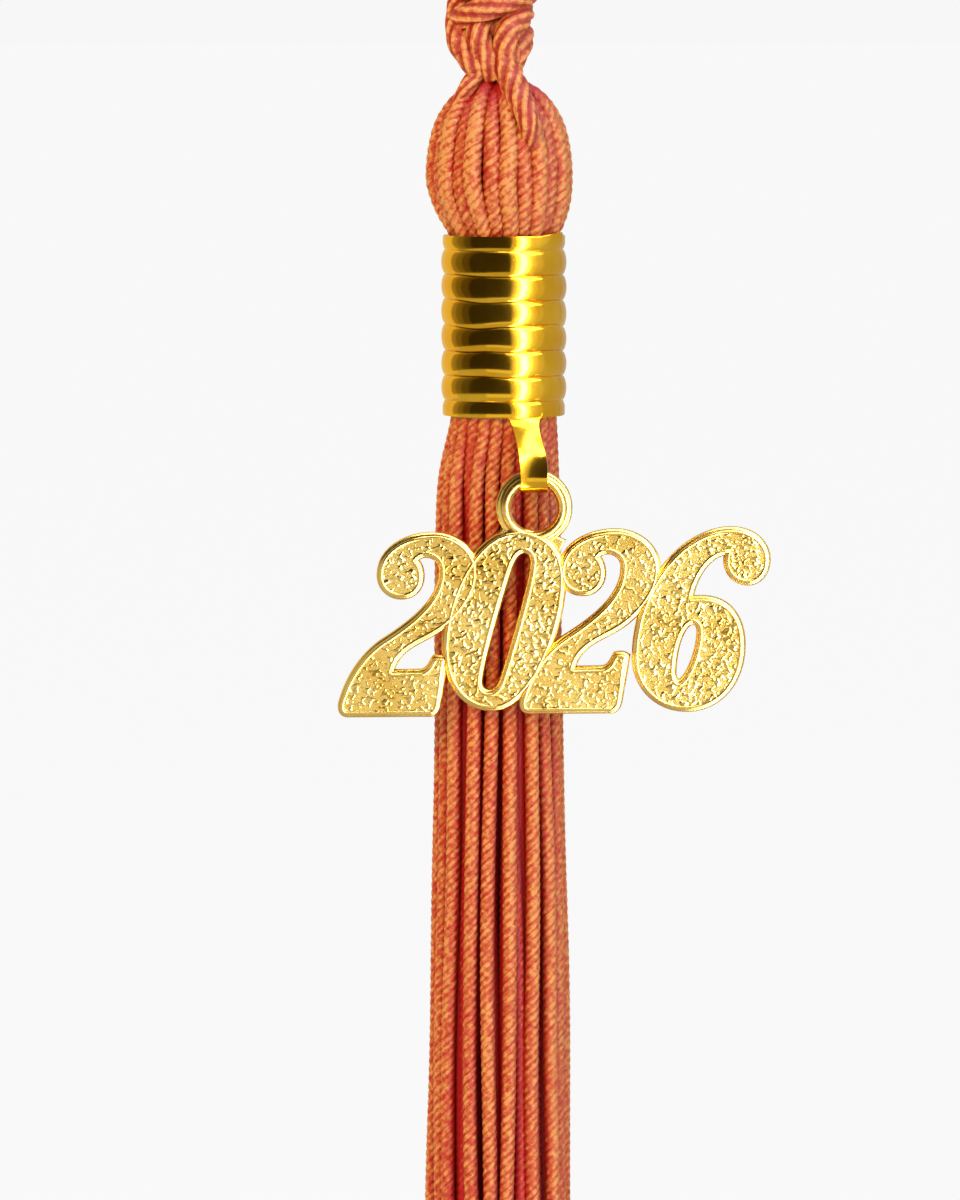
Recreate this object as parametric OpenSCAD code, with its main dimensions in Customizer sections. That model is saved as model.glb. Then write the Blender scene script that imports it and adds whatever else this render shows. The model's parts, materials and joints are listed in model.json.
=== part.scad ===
// Graduation tassel with a rolled metal barrel and a cast year charm.
// It hangs from a loop of cord, so +Z is up, the front faces -Y, and the origin is
// the inside of the loop's top, where the cap's button holds it. Millimetres.

/* [Hanging cord] */
// Diameter of the twisted hanging cord
hanger_d = 2.4; // [1.6:0.1:2.6]
// Greatest diameter of the knot in the hanging cord
knot_d = 7.1; // [5.6:0.1:9]
// Height of the knot
knot_h = 11; // [8:0.5:14]
// Diameter of the two cords between the knot and the head
neck_cord_d = 1.8; // [1.2:0.1:2.2]
// Length of the two cords between the knot and the head
neck_h = 1.3; // [0.8:0.1:3]

/* [Threads] */
// Diameter of one relaxed thread
thread_d = 1.2; // [0.9:0.05:1.2]
// Height of the head, from the crown to the barrel
head_h = 12.2; // [10:0.1:16]
// Greatest radius of the head
head_r = 6.05; // [5.5:0.05:7.5]
// Length of the skirt below the barrel
skirt_l = 162; // [100:1:200]
// Radius of the skirt just below the barrel
skirt_top_r = 4.7; // [4.6:0.05:5.2]
// Radius of the skirt at the thread ends
skirt_end_r = 6.3; // [5.8:0.05:8]
// Radial thickness of the binding thread wound inside the barrel
binding_t = 0.4; // [0.3:0.05:0.5]

/* [Barrel] */
// Outer radius over the barrel's ribs
barrel_r = 5.12; // [4.9:0.02:6.2]
// Length of the barrel
barrel_h = 14.7; // [12.3:0.1:17.7]
// Thickness of the rolled sheet
barrel_wall = 0.35; // [0.25:0.05:0.4]
// How far each rib stands out
rib_depth = 0.3; // [0.1:0.05:0.35]
// Number of ribs
rib_count = 6; // [3:1:7]
// Gap of the rolled seam
seam_gap = 0.3; // [0.2:0.05:0.6]
// Width of the hook tab
tab_w = 2.1; // [1.6:0.1:2.4]
// Thickness of the hook tab
tab_t = 0.38; // [0.25:0.02:0.45]
// Drop of the hook's bend centre below the barrel
hook_drop = 4.65; // [4:0.05:6]

/* [Charm] */
// Thickness of the charm's back plate
plate_t = 1.2; // [0.9:0.1:1.5]
// Height of the recessed field above the plate
field_h = 0.2; // [0.1:0.05:0.4]
// Height of the raised rim above the plate
rim_h = 0.5; // [0.3:0.05:0.8]
// Width of the raised rim
rim_w = 0.25; // [0.15:0.05:0.4]
// How far the plate stands out around the numerals
plate_lip = 0.4; // [0.2:0.05:0.5]
// Radius of the hole in the charm's ring
ring_hole_r = 1.9; // [1.8:0.05:2.4]
// Radial width of the charm's ring
ring_w = 1.2; // [1:0.05:1.3]
// How far the numerals climb from one pair to the next
numeral_rise = 0.28; // [0:0.02:0.6]

/* [Fits] */
// Clearance between the barrel's bore and the binding it turns on
turn_gap = 0.05; // [0.02:0.01:0.1]
// Clearance between the hook and the charm's ring
hook_gap = 0.55; // [0.4:0.05:0.7]
// Clearance between the charm's back and the skirt
charm_gap = 0.6; // [0.4:0.05:2]
// Clearance between squeezed threads and what holds them
squeeze_gap = 0.03; // [0.02:0.01:0.06]

/* [Hidden] */
$fn = 96;

// Half of the hanging cord's route, from the knot to the top of the loop: x, z
loop_half = [
    [1.3, -85], [1.5, -79], [2, -73], [2.7, -67], [3.4, -61], [4.1, -55], [4.8, -49],
    [5.4, -43], [6, -37], [6.5, -31], [6.9, -25], [7.2, -19], [7.2, -13.5],
    [6.8, -8.5], [5.7, -4], [3.9, -0.8], [2, 0.8], [0, 1.2]
];

// Heights, from the knot down
z_knot = loop_half[0][1];
z_neck = z_knot - knot_h;
z_crown = z_neck - neck_h;
z_barrel = z_crown - head_h;
z_mouth = z_barrel - barrel_h;
z_end = z_mouth - skirt_l;

// The barrel's rolled profile
band_drop = 0.12;
rib_pitch = (barrel_h - 2.4) / rib_count;
rib_steps = 8;
band_h = 0.85;
bore_r = barrel_r - rib_depth - barrel_wall;
seam_angle = 65;
tab_angle = 20.6;

// The binding is the journal that the barrel turns on
binding_r = bore_r - turn_gap;
binding_h = barrel_h - 6.7;
bundle_squeezed_r = binding_r - binding_t - squeeze_gap;

// Rings of thread legs in the bundle: how many, and their share of the outer ring's radius
ring_counts = [24, 18, 12, 6];
ring_shares = [1, 0.748, 0.5, 0.25];
// The widest thread that fits the outer ring, as a share of the bundle's radius
thread_share = 0.215;
thread_sides = 8;
fold_r = 3.25;
fold_h = 2.6;
crown_drop = 1.1;

// The bundle's outer radius at each height: z, radius
bundle = [
    [z_crown - crown_drop, 4.4],
    [z_crown - fold_h, 5.05],
    [z_crown - 5.1, head_r - 0.28],
    [z_crown - 7.7, head_r],
    [z_barrel + 2.2, head_r - 0.55],
    [z_barrel + 0.5, bundle_squeezed_r + 0.56],
    [z_barrel - 1.3, bundle_squeezed_r],
    [z_mouth + 1.3, bundle_squeezed_r],
    [z_mouth - 1.4, skirt_top_r],
    [z_mouth - 25, skirt_top_r + 0.6],
    [z_mouth - 63, skirt_end_r - 0.25],
    [z_end, skirt_end_r]
];

// The charm hangs in front of the skirt
skirt_front = skirt_top_r + 0.5;
ring_r = ring_hole_r + ring_w / 2;
charm_x = 2.44;
charm_back = -(skirt_front + charm_gap);
hook_y = charm_back - plate_t / 2;
hook_z = z_mouth - hook_drop;
hook_r = ring_w / 2 + hook_gap + tab_t / 2;

thread_total = 30;
function two_figures(n) = str(n < 10 ? "0" : "", n);
function thread_name(n) = str("thread_", two_figures(n));

// ---- Shared functions ----

function unit(v) = v / norm(v);

// Points round a centre, on an ellipse with the half-axes u and v
function round_section(centre, u, v, sides) =
    [for (k = [0:sides - 1]) centre + u * cos(360 * k / sides) + v * sin(360 * k / sides)];

// Points of a cubic curve, without its last point
function curve(c, steps = 5) =
    [for (k = [0:steps - 1]) let (t = k / steps, s = 1 - t)
        s * s * s * c[0] + 3 * s * s * t * c[1] + 3 * s * t * t * c[2] + t * t * t * c[3]];

// An outline from its anchors and handles: each row is an anchor with the two handles
// that lead to the next row's anchor, or an anchor alone where a straight edge follows
function outline(rows) =
    [for (k = [0:len(rows) - 1])
        let (row = rows[k], next = rows[(k + 1) % len(rows)][0])
        each len(row) == 1 ? [row[0]] : curve([row[0], row[1], row[2], next])];

// A closed solid through a list of equal sections, in order
module sweep(sections) {
    sides = len(sections[0]);
    last = len(sections) - 1;
    polyhedron(
        points = [for (s = sections) each s],
        faces = concat(
            [[for (k = [0:sides - 1]) k]],
            [for (j = [0:last - 1], k = [0:sides - 1])
                let (next = (k + 1) % sides)
                [j * sides + k, (j + 1) * sides + k, (j + 1) * sides + next, j * sides + next]],
            [[for (k = [sides - 1:-1:0]) last * sides + k]]
        )
    );
}

// ---- Hanging cord ----

loop_route = concat(
    [for (p = loop_half) [p[0], 0, p[1]]],
    [for (k = [len(loop_half) - 2:-1:0]) [-loop_half[k][0], 0, loop_half[k][1]]]
);

function loop_direction(k) =
    k == 0 || k == len(loop_route) - 1
        ? [0, 0, k == 0 ? 1 : -1]
        : unit(loop_route[k + 1] - loop_route[k - 1]);

module hanger_loop() color("darkorange")
    sweep([for (k = [0:len(loop_route) - 1])
        let (across = cross([0, 1, 0], loop_direction(k)))
        round_section(loop_route[k], [0, hanger_d / 2, 0], -across * hanger_d / 2, thread_sides)]);

// Radius of the knot at a share of its height, from its foot
function knot_radius(t) = knot_d / 2 * (0.55 + 0.45 * pow(sin(180 * t), 0.7));

module hanger_knot() color("darkorange")
    rotate_extrude()
        polygon(concat(
            [[0, z_neck]],
            [for (k = [0:12]) [knot_radius(k / 12), z_neck + knot_h * k / 12]],
            [[0, z_knot]]
        ));

module neck_cord(side) color("darkorange")
    sweep([for (p = [[0.55, 0], [0.62, 0.5], [0.68, 1]])
        round_section([side * p[0] * neck_cord_d, 0, z_neck - neck_h * p[1]],
            [neck_cord_d / 2, 0, 0], [0, -neck_cord_d / 2, 0], thread_sides)]);

module neck_cord_left() neck_cord(-1);

module neck_cord_right() neck_cord(1);

// The cut ends of the hanging cord, held in the middle of the bundle
module hanger_tail() color("darkorange")
    translate([0, 0, z_barrel - binding_h])
        cylinder(r = bundle_squeezed_r * 0.1, h = z_crown - fold_h - z_barrel + binding_h);

// ---- Threads ----

// The folded middle of the threads, tied by the hanging cord
module thread_fold() color("orange")
    rotate_extrude()
        polygon([
            [0, z_crown], [2.3, z_crown], [3, z_crown - 0.7], [fold_r, z_crown - 1.5],
            [fold_r, z_crown - fold_h], [0, z_crown - fold_h]
        ]);

// The section of one leg where the bundle has the radius r, at azimuth a from the front
function leg_section(ring, a, z, r) =
    let (
        thick = min(thread_d, r * thread_share),
        out = [sin(a), -cos(a), 0],
        along = [cos(a), sin(a), 0]
    )
    round_section(out * (r - thick / 2) * ring_shares[ring] + [0, 0, z],
        along * thick / 2, out * thick / 2, thread_sides);

function leg_sections(ring, a) =
    [for (k = [ring == 0 ? 0 : 1:len(bundle) - 1])
        leg_section(ring, a, bundle[k][0], bundle[k][1])];

// One folded thread: its two legs lie opposite each other in one ring of the bundle
module thread(ring, place)
    for (leg = [0, 1])
        sweep(leg_sections(ring, 360 * (place + 0.5) / ring_counts[ring] + 180 * leg));

// The ring and the place in it of each thread, outermost first
thread_places = [
    for (ring = [0:len(ring_counts) - 1], place = [0:ring_counts[ring] / 2 - 1]) [ring, place]
];

// The thread wound round the bundle inside the barrel
module binding_thread() color("orange")
    translate([0, 0, z_barrel - (barrel_h + binding_h) / 2])
        difference() {
            cylinder(r = binding_r, h = binding_h);
            translate([0, 0, -1]) cylinder(r = binding_r - binding_t, h = binding_h + 2);
        }

// ---- Barrel ----

// The barrel's outer radius at each height, from the mouth up: radius, z
rolled = concat(
    [[barrel_r - band_drop, z_mouth], [barrel_r - band_drop, z_mouth + band_h]],
    [for (rib = [0:rib_count - 1], k = [0:rib_steps - 1])
        [barrel_r - rib_depth * (1 - pow(sin(180 * k / rib_steps), 0.7)),
         z_mouth + 1.25 + rib_pitch * (rib + k / rib_steps)]],
    [[barrel_r - rib_depth, z_mouth + 1.25 + rib_pitch * rib_count],
     [barrel_r - band_drop, z_barrel - band_h / 2], [barrel_r - band_drop, z_barrel]]
);

// The tab's centre line, the turn of its face from the front, and its width
tab_root = [sin(tab_angle), -cos(tab_angle), 0] * (barrel_r - band_drop - barrel_wall / 2);
tab_front = hook_y - hook_r;

function between(a, b, t) = a + (b - a) * t;

function tab_row(drop, outward, turn, width) =
    [[between(tab_root[0], charm_x, outward), between(tab_root[1], tab_front, outward),
      z_mouth - hook_drop * drop], turn, width];

tab_rows = concat(
    [
        tab_row(-0.15, 0, tab_angle, tab_w * 1.35),
        tab_row(0.02, 0, tab_angle, tab_w * 1.3),
        tab_row(0.13, 0.1, tab_angle, tab_w * 1.08),
        tab_row(0.35, 0.38, tab_angle * 0.7, tab_w * 1.04),
        tab_row(0.57, 0.69, tab_angle * 0.35, tab_w * 1.02),
        tab_row(0.78, 0.92, tab_angle * 0.1, tab_w)
    ],
    [for (a = [180:22.5:360])
        [[charm_x, hook_y + hook_r * cos(a), hook_z + hook_r * sin(a)], 0, tab_w]],
    [[[charm_x, hook_y + hook_r, hook_z + 1.3], 0, tab_w]]
);

function tab_direction(k) =
    unit(tab_rows[min(k + 1, len(tab_rows) - 1)][0] - tab_rows[max(k - 1, 0)][0]);

function tab_section(k) =
    let (
        row = tab_rows[k],
        across = [cos(row[1]), sin(row[1]), 0] * row[2] / 2,
        through = unit(cross(tab_direction(k), across)) * tab_t / 2
    )
    [row[0] - across - through, row[0] + across - through,
     row[0] + across + through, row[0] - across + through];

module hook_tab() sweep([for (k = [0:len(tab_rows) - 1]) tab_section(k)]);

module barrel() color("gold") {
    difference() {
        rotate_extrude()
            polygon(concat(rolled, [for (k = [len(rolled) - 1:-1:0])
                [rolled[k][0] - barrel_wall, rolled[k][1]]]));
        rotate([0, 0, seam_angle - 90])
            translate([0, -seam_gap / 2, z_mouth - 1]) cube([barrel_r + 1, seam_gap, barrel_h + 2]);
    }
    hook_tab();
}

// ---- Charm ----

// The numerals stand on one line. x runs to the right and y up from the first one's foot.
two = outline([
    [[3.15, 11.2], [3.15, 13.1], [5.1, 14.3]],
    [[7.4, 14.3], [9.2, 14.3], [10.7, 13.1]],
    [[10.7, 11.4], [10.7, 10], [9.8, 8.7]],
    [[8.8, 7.75], [7, 5.9], [4.4, 6]],
    [[3.75, 3.3]],
    [[4, 3.1]],
    [[6.3, 3.15], [7.1, 3.2], [7.3, 3.9]],
    [[7.55, 4.3], [7.75, 4.35], [8.05, 4.35]],
    [[8.2, 4.25]],
    [[7.6, 0.7], [7.5, 0.2], [7.3, 0.05]],
    [[7, 0.05]],
    [[0.4, 0], [0.05, 0], [-0.05, 0.3]],
    [[0, 0.7], [0.6, 2.9], [1.8, 4.5]],
    [[3.2, 5.55], [5.6, 7.1], [8.1, 8.9]],
    [[8.2, 11.4], [8.25, 12.4], [7.6, 13]],
    [[6.7, 13], [6.3, 13], [6, 12.8]],
    [[5.7, 12.4], [6.1, 12.05], [6.25, 11.6]],
    [[6.25, 11.1], [6.25, 10.2], [5.6, 9.6]],
    [[4.75, 9.6], [3.85, 9.6], [3.15, 10.3]]
]);

zero = outline([
    [[14.2, 14.6], [16.4, 14.6], [17.75, 13.1]],
    [[17.75, 10.9], [17.75, 6.9], [15.2, 0.5]],
    [[12.15, 0.5], [9.9, 0.5], [8.45, 2.6]],
    [[8.45, 5.3], [8.45, 9.2], [10.9, 14.6]]
]);

zero_slot = outline([
    [[14.7, 13.35], [15.25, 13.35], [15.65, 12.8]],
    [[15.6, 12.2], [15.5, 10.6], [14, 5.4]],
    [[13.1, 2.6], [12.8, 1.8], [12.4, 1.5]],
    [[11.9, 1.5], [11.3, 1.5], [10.95, 2]],
    [[11, 2.7], [11.1, 4.1], [12.6, 9.4]],
    [[13.4, 11.8], [13.7, 12.8], [14.2, 13.35]]
]);

six = outline([
    [[23.85, 4.5], [23.85, 7.4], [24.9, 10.1]],
    [[26.4, 11.95], [27.9, 13.8], [29.8, 14.75]],
    [[31.5, 14.75], [33.1, 14.75], [34.3, 13.8]],
    [[34.3, 12.5], [34.3, 11.5], [33.7, 10.75]],
    [[32.9, 10.75], [31.9, 10.75], [31.25, 11.5]],
    [[31.25, 12.4], [31.25, 12.7], [31.3, 12.95]],
    [[31.4, 13.2], [29.8, 13.4], [28.3, 11.3]],
    [[28, 9.05], [28.4, 9.15], [28.9, 9.15]],
    [[29.3, 9.15], [31.2, 9.1], [32.3, 7.7]],
    [[32.3, 5.5], [32.3, 2.5], [30.4, 0.45]],
    [[27.9, 0.45], [25.5, 0.45], [23.85, 2.3]]
]);

six_slot = outline([
    [[28.4, 7.55], [28.9, 7.55], [29.15, 7]],
    [[29.1, 6.4], [29, 4.6], [28, 2.3]],
    [[27.3, 2.3], [26.8, 2.3], [26.65, 2.9]],
    [[26.7, 3.7], [26.8, 5.6], [27.5, 7.55]]
]);

// The ring's centre in the numerals' own frame
ring_place = [15.53, 16.68];
second_two = [14.72, numeral_rise];
web_points = [[12.6, 14.4], [12.95, 15.3], [18.1, 14.1], [17.4, 12.6]];

module numerals() difference() {
    union() {
        polygon(two);
        polygon(zero);
        translate(second_two) polygon(two);
        polygon(six);
    }
    polygon(zero_slot);
    polygon(six_slot);
}

// The plate's outline reaches up to carry the ring
module plate_outline() {
    offset(r = plate_lip, $fn = 12) numerals();
    difference() {
        polygon(web_points);
        translate(ring_place) circle(r = ring_r);
    }
}

// The ring's rounded section, at its own radius
module ring_section() {
    half = ring_w / 2;
    edge = 0.3;
    translate([ring_r, 0])
        polygon([
            [-half, edge], [edge - half, plate_t / 2], [half - edge, plate_t / 2], [half, edge],
            [half, -edge], [half - edge, -plate_t / 2], [edge - half, -plate_t / 2], [-half, -edge]
        ]);
}

module year_charm() color("gold")
    translate([charm_x, charm_back, hook_z - ring_r]) rotate([90, 0, 0]) {
        translate([-ring_place[0], -ring_place[1], 0]) {
            linear_extrude(plate_t) plate_outline();
            linear_extrude(plate_t + field_h) numerals();
            linear_extrude(plate_t + rim_h) difference() {
                numerals();
                offset(delta = -rim_w) numerals();
            }
        }
        translate([0, 0, plate_t / 2]) rotate_extrude() ring_section();
    }

// ---- The assembly ----

hanger_loop();
hanger_knot();
neck_cord_left();
neck_cord_right();
thread_fold();
hanger_tail();
binding_thread();
barrel();
year_charm();
for (n = [1:thread_total])
    color(n % 2 == 0 ? "orange" : "darkorange")
            thread(thread_places[n - 1][0], thread_places[n - 1][1]);
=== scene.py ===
"""Graduation tassel: twisted threads in a round head, a rolled barrel and a cast year charm.

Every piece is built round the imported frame, in metres, and rides on one of its bodies.
"""

from __future__ import annotations

import json
import logging
import math
from dataclasses import dataclass
from enum import Enum

import bmesh
import bpy
import numpy as np
from mathutils import Matrix, Vector, noise


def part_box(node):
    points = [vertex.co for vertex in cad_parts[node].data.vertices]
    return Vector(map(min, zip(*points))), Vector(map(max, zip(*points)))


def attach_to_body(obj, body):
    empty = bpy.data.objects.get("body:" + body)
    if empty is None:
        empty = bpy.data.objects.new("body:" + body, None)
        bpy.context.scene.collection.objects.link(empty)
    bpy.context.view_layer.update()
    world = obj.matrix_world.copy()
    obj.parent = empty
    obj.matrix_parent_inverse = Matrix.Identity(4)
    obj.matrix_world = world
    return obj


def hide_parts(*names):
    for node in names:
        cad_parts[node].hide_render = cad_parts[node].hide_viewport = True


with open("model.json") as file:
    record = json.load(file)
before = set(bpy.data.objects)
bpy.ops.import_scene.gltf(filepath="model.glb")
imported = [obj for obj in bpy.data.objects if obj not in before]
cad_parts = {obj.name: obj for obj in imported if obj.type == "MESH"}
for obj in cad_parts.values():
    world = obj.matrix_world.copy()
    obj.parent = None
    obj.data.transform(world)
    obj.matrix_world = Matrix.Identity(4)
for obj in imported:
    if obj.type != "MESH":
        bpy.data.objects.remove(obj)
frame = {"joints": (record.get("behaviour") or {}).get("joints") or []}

MM = 0.001
TURN = 2 * math.pi
LOG = logging.getLogger("tassel")

Colour = tuple[float, float, float]
Point = tuple[float, float, float]


class Body(Enum):
    """The frame's moving bodies."""

    TASSEL = "tassel"
    BARREL = "barrel"
    CHARM = "charm"


class Slot(Enum):
    """The record's material slots."""

    CORD = "cord"
    THREAD = "thread"
    BARREL = "barrel_metal"
    CHARM = "charm_metal"


# ---- Materials -----------------------------------------------------------------------


class Value:
    """A node's output socket, for shader maths written as Python expressions."""

    def __init__(self, kit: "NodeKit", socket: bpy.types.NodeSocket) -> None:
        self.kit = kit
        self.socket = socket

    def _math(self, operation: str, first: object, second: object) -> "Value":
        """Add one Math node for an operation on two values."""
        return self.kit.add("ShaderNodeMath", {"operation": operation}, {0: first, 1: second})

    def __add__(self, other: object) -> "Value":
        """Self plus other."""
        return self._math("ADD", self, other)

    def __sub__(self, other: object) -> "Value":
        """Self minus other."""
        return self._math("SUBTRACT", self, other)

    def __mul__(self, other: object) -> "Value":
        """Self times other."""
        return self._math("MULTIPLY", self, other)

    def __rsub__(self, other: object) -> "Value":
        """Other minus self."""
        return self._math("SUBTRACT", other, self)

    __radd__ = __add__
    __rmul__ = __mul__


class NodeKit:
    """Builds one node material round a Principled shader."""

    def __init__(self, name: str) -> None:
        """Start an empty material.

        Args:
            name: the finish's plain name.
        """
        self.material = bpy.data.materials.new(name)
        self.material.use_nodes = True
        self.tree = self.material.node_tree
        self.shader = self.tree.nodes["Principled BSDF"]

    def add(
        self,
        kind: str,
        settings: dict[str, object] | None = None,
        inputs: dict[int | str, object] | None = None,
        output: int | str = 0,
    ) -> Value:
        """Add a node, set it up, and give back one of its outputs.

        Args:
            kind: the node's type.
            settings: its own properties; "stops" fills a colour ramp.
            inputs: numbers, colours or Values for its sockets, by index or name.
            output: which output to give back.

        Returns:
            The output, ready for sums and for other nodes.
        """
        node = self.tree.nodes.new(kind)
        for key, setting in (settings or {}).items():
            if key == "stops":
                self._fill_ramp(node.color_ramp, setting)
            else:
                setattr(node, key, setting)
        for key, value in (inputs or {}).items():
            self._set(node.inputs[key], value)
        return Value(self, node.outputs[output])

    def _set(self, socket: bpy.types.NodeSocket, value: object) -> None:
        """Link a Value to a socket, or set the socket's own value."""
        if isinstance(value, Value):
            self.tree.links.new(value.socket, socket)
        else:
            socket.default_value = value

    @staticmethod
    def _fill_ramp(ramp: bpy.types.ColorRamp, stops: list[tuple[float, Colour]]) -> None:
        """Give a ramp its stops, each a place and a colour."""
        while len(ramp.elements) < len(stops):
            ramp.elements.new(1.0)
        for element, (place, colour) in zip(ramp.elements, stops, strict=True):
            element.position = place
            element.color = (*colour, 1.0)

    def set_shader(self, **sockets: object) -> None:
        """Set the shader's sockets, given by name with _ for a space."""
        for name, value in sockets.items():
            self._set(self.shader.inputs[name.replace("_", " ")], value)

    def bump(self, height: Value, distance: float, strength: float = 0.6) -> Value:
        """Give the normal bumped by a height from 0 to 1, where 1 stands out by a distance."""
        inputs = {"Height": height, "Distance": distance, "Strength": strength}
        return self.add("ShaderNodeBump", inputs=inputs)

    def attribute(self, name: str, output: str = "Fac") -> Value:
        """Read one of the mesh's own attributes."""
        return self.add("ShaderNodeAttribute", {"attribute_name": name}, output=output)

    def noise(self, place: Value, scale: float, detail: float = 2.0) -> Value:
        """Add a noise texture over a place."""
        return self.add("ShaderNodeTexNoise", inputs={"Vector": place, "Scale": scale, "Detail": detail})

    def ramp(self, stops: list[tuple[float, Colour]], factor: Value) -> Value:
        """Look a factor up in a colour ramp."""
        return self.add("ShaderNodeValToRGB", {"stops": stops}, {"Fac": factor})


@dataclass(frozen=True)
class ThreadFinish:
    """Satin twisted thread: filaments along each ply, with painted shade deep in the grooves and between
    threads and a painted highlight pale on the crests.
    """

    name: str
    painted_shade_and_mottle: Colour
    middle: Colour
    painted_crest_highlight: Colour
    filament_scale: float
    crest_share: float
    speckle: float
    filament: float = 0.45
    patch: float = 0.5
    stops: tuple[float, float, float] = (0.36, 0.68, 1.0)
    patch_scale: float = 0.7
    speckle_scale: float = 2400.0
    bump_height: float = 0.09 * MM
    roughness: float = 0.6
    roughness_spread: float = 0.2
    specular: float = 0.3
    sheen: float = 0.09
    sheen_roughness: float = 0.4

    def material(self) -> bpy.types.Material:
        """Build the material.

        Returns:
            A material that reads the cords' own weave attribute, and their crest and depth attributes, from
            which it paints highlight on the ply crests and shade in the grooves and between threads.
        """
        kit = NodeKit(self.name)
        weave = kit.attribute("weave", "Vector")
        filaments = kit.noise(weave, self.filament_scale, 3.0)
        patches = kit.noise(weave, self.patch_scale)
        speckle = kit.noise(kit.add("ShaderNodeTexCoord", output="Object"), self.speckle_scale)
        # Painted light: ply crests and the outside of the bundle get a painted highlight, grooves and the
        # inside of the bundle painted shade; the filament, patch and speckle noise add random tone.
        tone = kit.attribute("painted_crest_highlight") * self.crest_share + kit.attribute("depth") * (1 - self.crest_share)
        for pattern, share in (
            (filaments, self.filament), (patches, self.patch), (speckle, self.speckle),
        ):  # fmt: skip
            tone = tone + (pattern - 0.5) * share
        colours = (self.painted_shade_and_mottle, self.middle, self.painted_crest_highlight)
        kit.set_shader(
            Base_Color=kit.ramp(list(zip(self.stops, colours)), tone),
            Roughness=self.roughness + (filaments - 0.5) * self.roughness_spread,
            Specular_IOR_Level=self.specular,
            Normal=kit.bump(filaments * 0.5 + speckle * 0.5, self.bump_height),
            Sheen_Weight=self.sheen,
            Sheen_Roughness=self.sheen_roughness,
            Sheen_Tint=(*self.painted_crest_highlight, 1.0),
        )
        return kit.material


@dataclass(frozen=True)
class GoldFinish:
    """Plated gold: a tinted mirror with drawn or cast grain, a little wear, and painted shade in the
    hammered field's pits.
    """

    name: str
    base: Colour
    dull_and_pit_shade: Colour
    roughness: float
    grain_scale: float
    grain_height: float
    grain_stretch: Point = (1.0, 1.0, 1.0)
    grain_roughness: float = 0.06
    pit_shade_share: float = 0.0
    wear_scale: float = 260.0
    wear_share: float = 0.8
    wear_roughness: float = 0.12
    stops: tuple[float, float] = (0.3, 0.62)

    def material(self) -> bpy.types.Material:
        """Build the material.

        Returns:
            A metal that reads Object coordinates and the field's own pit mask, from which it paints shade
            in the pits.
        """
        kit = NodeKit(self.name)
        place = kit.add("ShaderNodeTexCoord", output="Object")
        stretched = kit.add("ShaderNodeMapping", inputs={"Vector": place, "Scale": self.grain_stretch})
        grain = kit.noise(stretched, self.grain_scale, 4.0)
        wear = kit.noise(place, self.wear_scale)
        tone = wear * self.wear_share + grain * (1 - self.wear_share)
        # Painted shade: the field's pits are darkened towards the dull colour.
        tone = tone - kit.attribute("pit_shade_mask") * self.pit_shade_share
        roughness = self.roughness + (wear - 0.5) * self.wear_roughness
        kit.set_shader(
            Base_Color=kit.ramp(list(zip(self.stops, (self.dull_and_pit_shade, self.base))), tone),
            Metallic=1.0,
            Roughness=roughness + (grain - 0.5) * self.grain_roughness,
            Normal=kit.bump(grain, self.grain_height),
        )
        return kit.material


@dataclass(frozen=True)
class StudioFinish:
    """A matt glowing surface for the studio."""

    name: str
    glow: Colour
    strength: float
    colour: Colour = (0.0, 0.0, 0.0)

    def material(self) -> bpy.types.Material:
        """Build the material."""
        kit = NodeKit(self.name)
        kit.set_shader(
            Base_Color=(*self.colour, 1.0),
            Roughness=1.0,
            Specular_IOR_Level=0.0,
            Emission_Color=(*self.glow, 1.0),
            Emission_Strength=self.strength,
        )
        return kit.material


# The first colour of each thread finish is painted shade for the grooves and the inside of the bundle, the
# last a painted highlight for the ply crests; both also take the random speckle.
THREAD = ThreadFinish(
    "orange_thread",
    painted_shade_and_mottle=(0.46, 0.004, 0.002),
    middle=(0.54, 0.077, 0.01),
    painted_crest_highlight=(0.74, 0.28, 0.056),
    filament_scale=2.2,
    crest_share=0.27,
    speckle=1.25,
)
CORD = ThreadFinish(
    "orange_cord",
    painted_shade_and_mottle=(0.33, 0.008, 0.002),
    middle=(0.5, 0.072, 0.01),
    painted_crest_highlight=(0.78, 0.31, 0.072),
    filament_scale=1.6,
    crest_share=0.5,
    speckle=1.05,
)
BARREL_GOLD = GoldFinish(
    "rolled_gold",
    base=(0.95, 0.54, 0.035),
    dull_and_pit_shade=(0.84, 0.42, 0.015),
    roughness=0.15,
    grain_scale=900.0,
    grain_height=0.01 * MM,
    grain_stretch=(1.0, 1.0, 0.08),
)
PLATE_GOLD = GoldFinish(
    "cast_gold",
    base=(0.93, 0.64, 0.17),
    dull_and_pit_shade=(0.82, 0.49, 0.09),
    roughness=0.26,
    grain_scale=1500.0,
    grain_height=0.015 * MM,
)
RIM_GOLD = GoldFinish(
    "polished_gold",
    base=(1.0, 0.72, 0.24),
    dull_and_pit_shade=(0.92, 0.58, 0.13),
    roughness=0.14,
    grain_scale=900.0,
    grain_height=0.005 * MM,
)
# Its dull colour serves both random dark dents in the wear noise and the painted shade in the pits.
FIELD_GOLD = GoldFinish(
    "hammered_gold",
    base=(0.98, 0.71, 0.22),
    dull_and_pit_shade=(0.46, 0.24, 0.025),
    roughness=0.15,
    grain_scale=2600.0,
    grain_height=0.02 * MM,
    pit_shade_share=0.7,
)


# ---- Shared shapes -------------------------------------------------------------------


def in_scene(name: str, data: bpy.types.ID) -> bpy.types.Object:
    """Put a mesh, a curve, a camera or a light in the scene, at the origin.

    Args:
        name: the object's name.
        data: what it shows.

    Returns:
        The object.
    """
    held = bpy.data.objects.new(name, data)
    bpy.context.scene.collection.objects.link(held)
    return held


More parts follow.
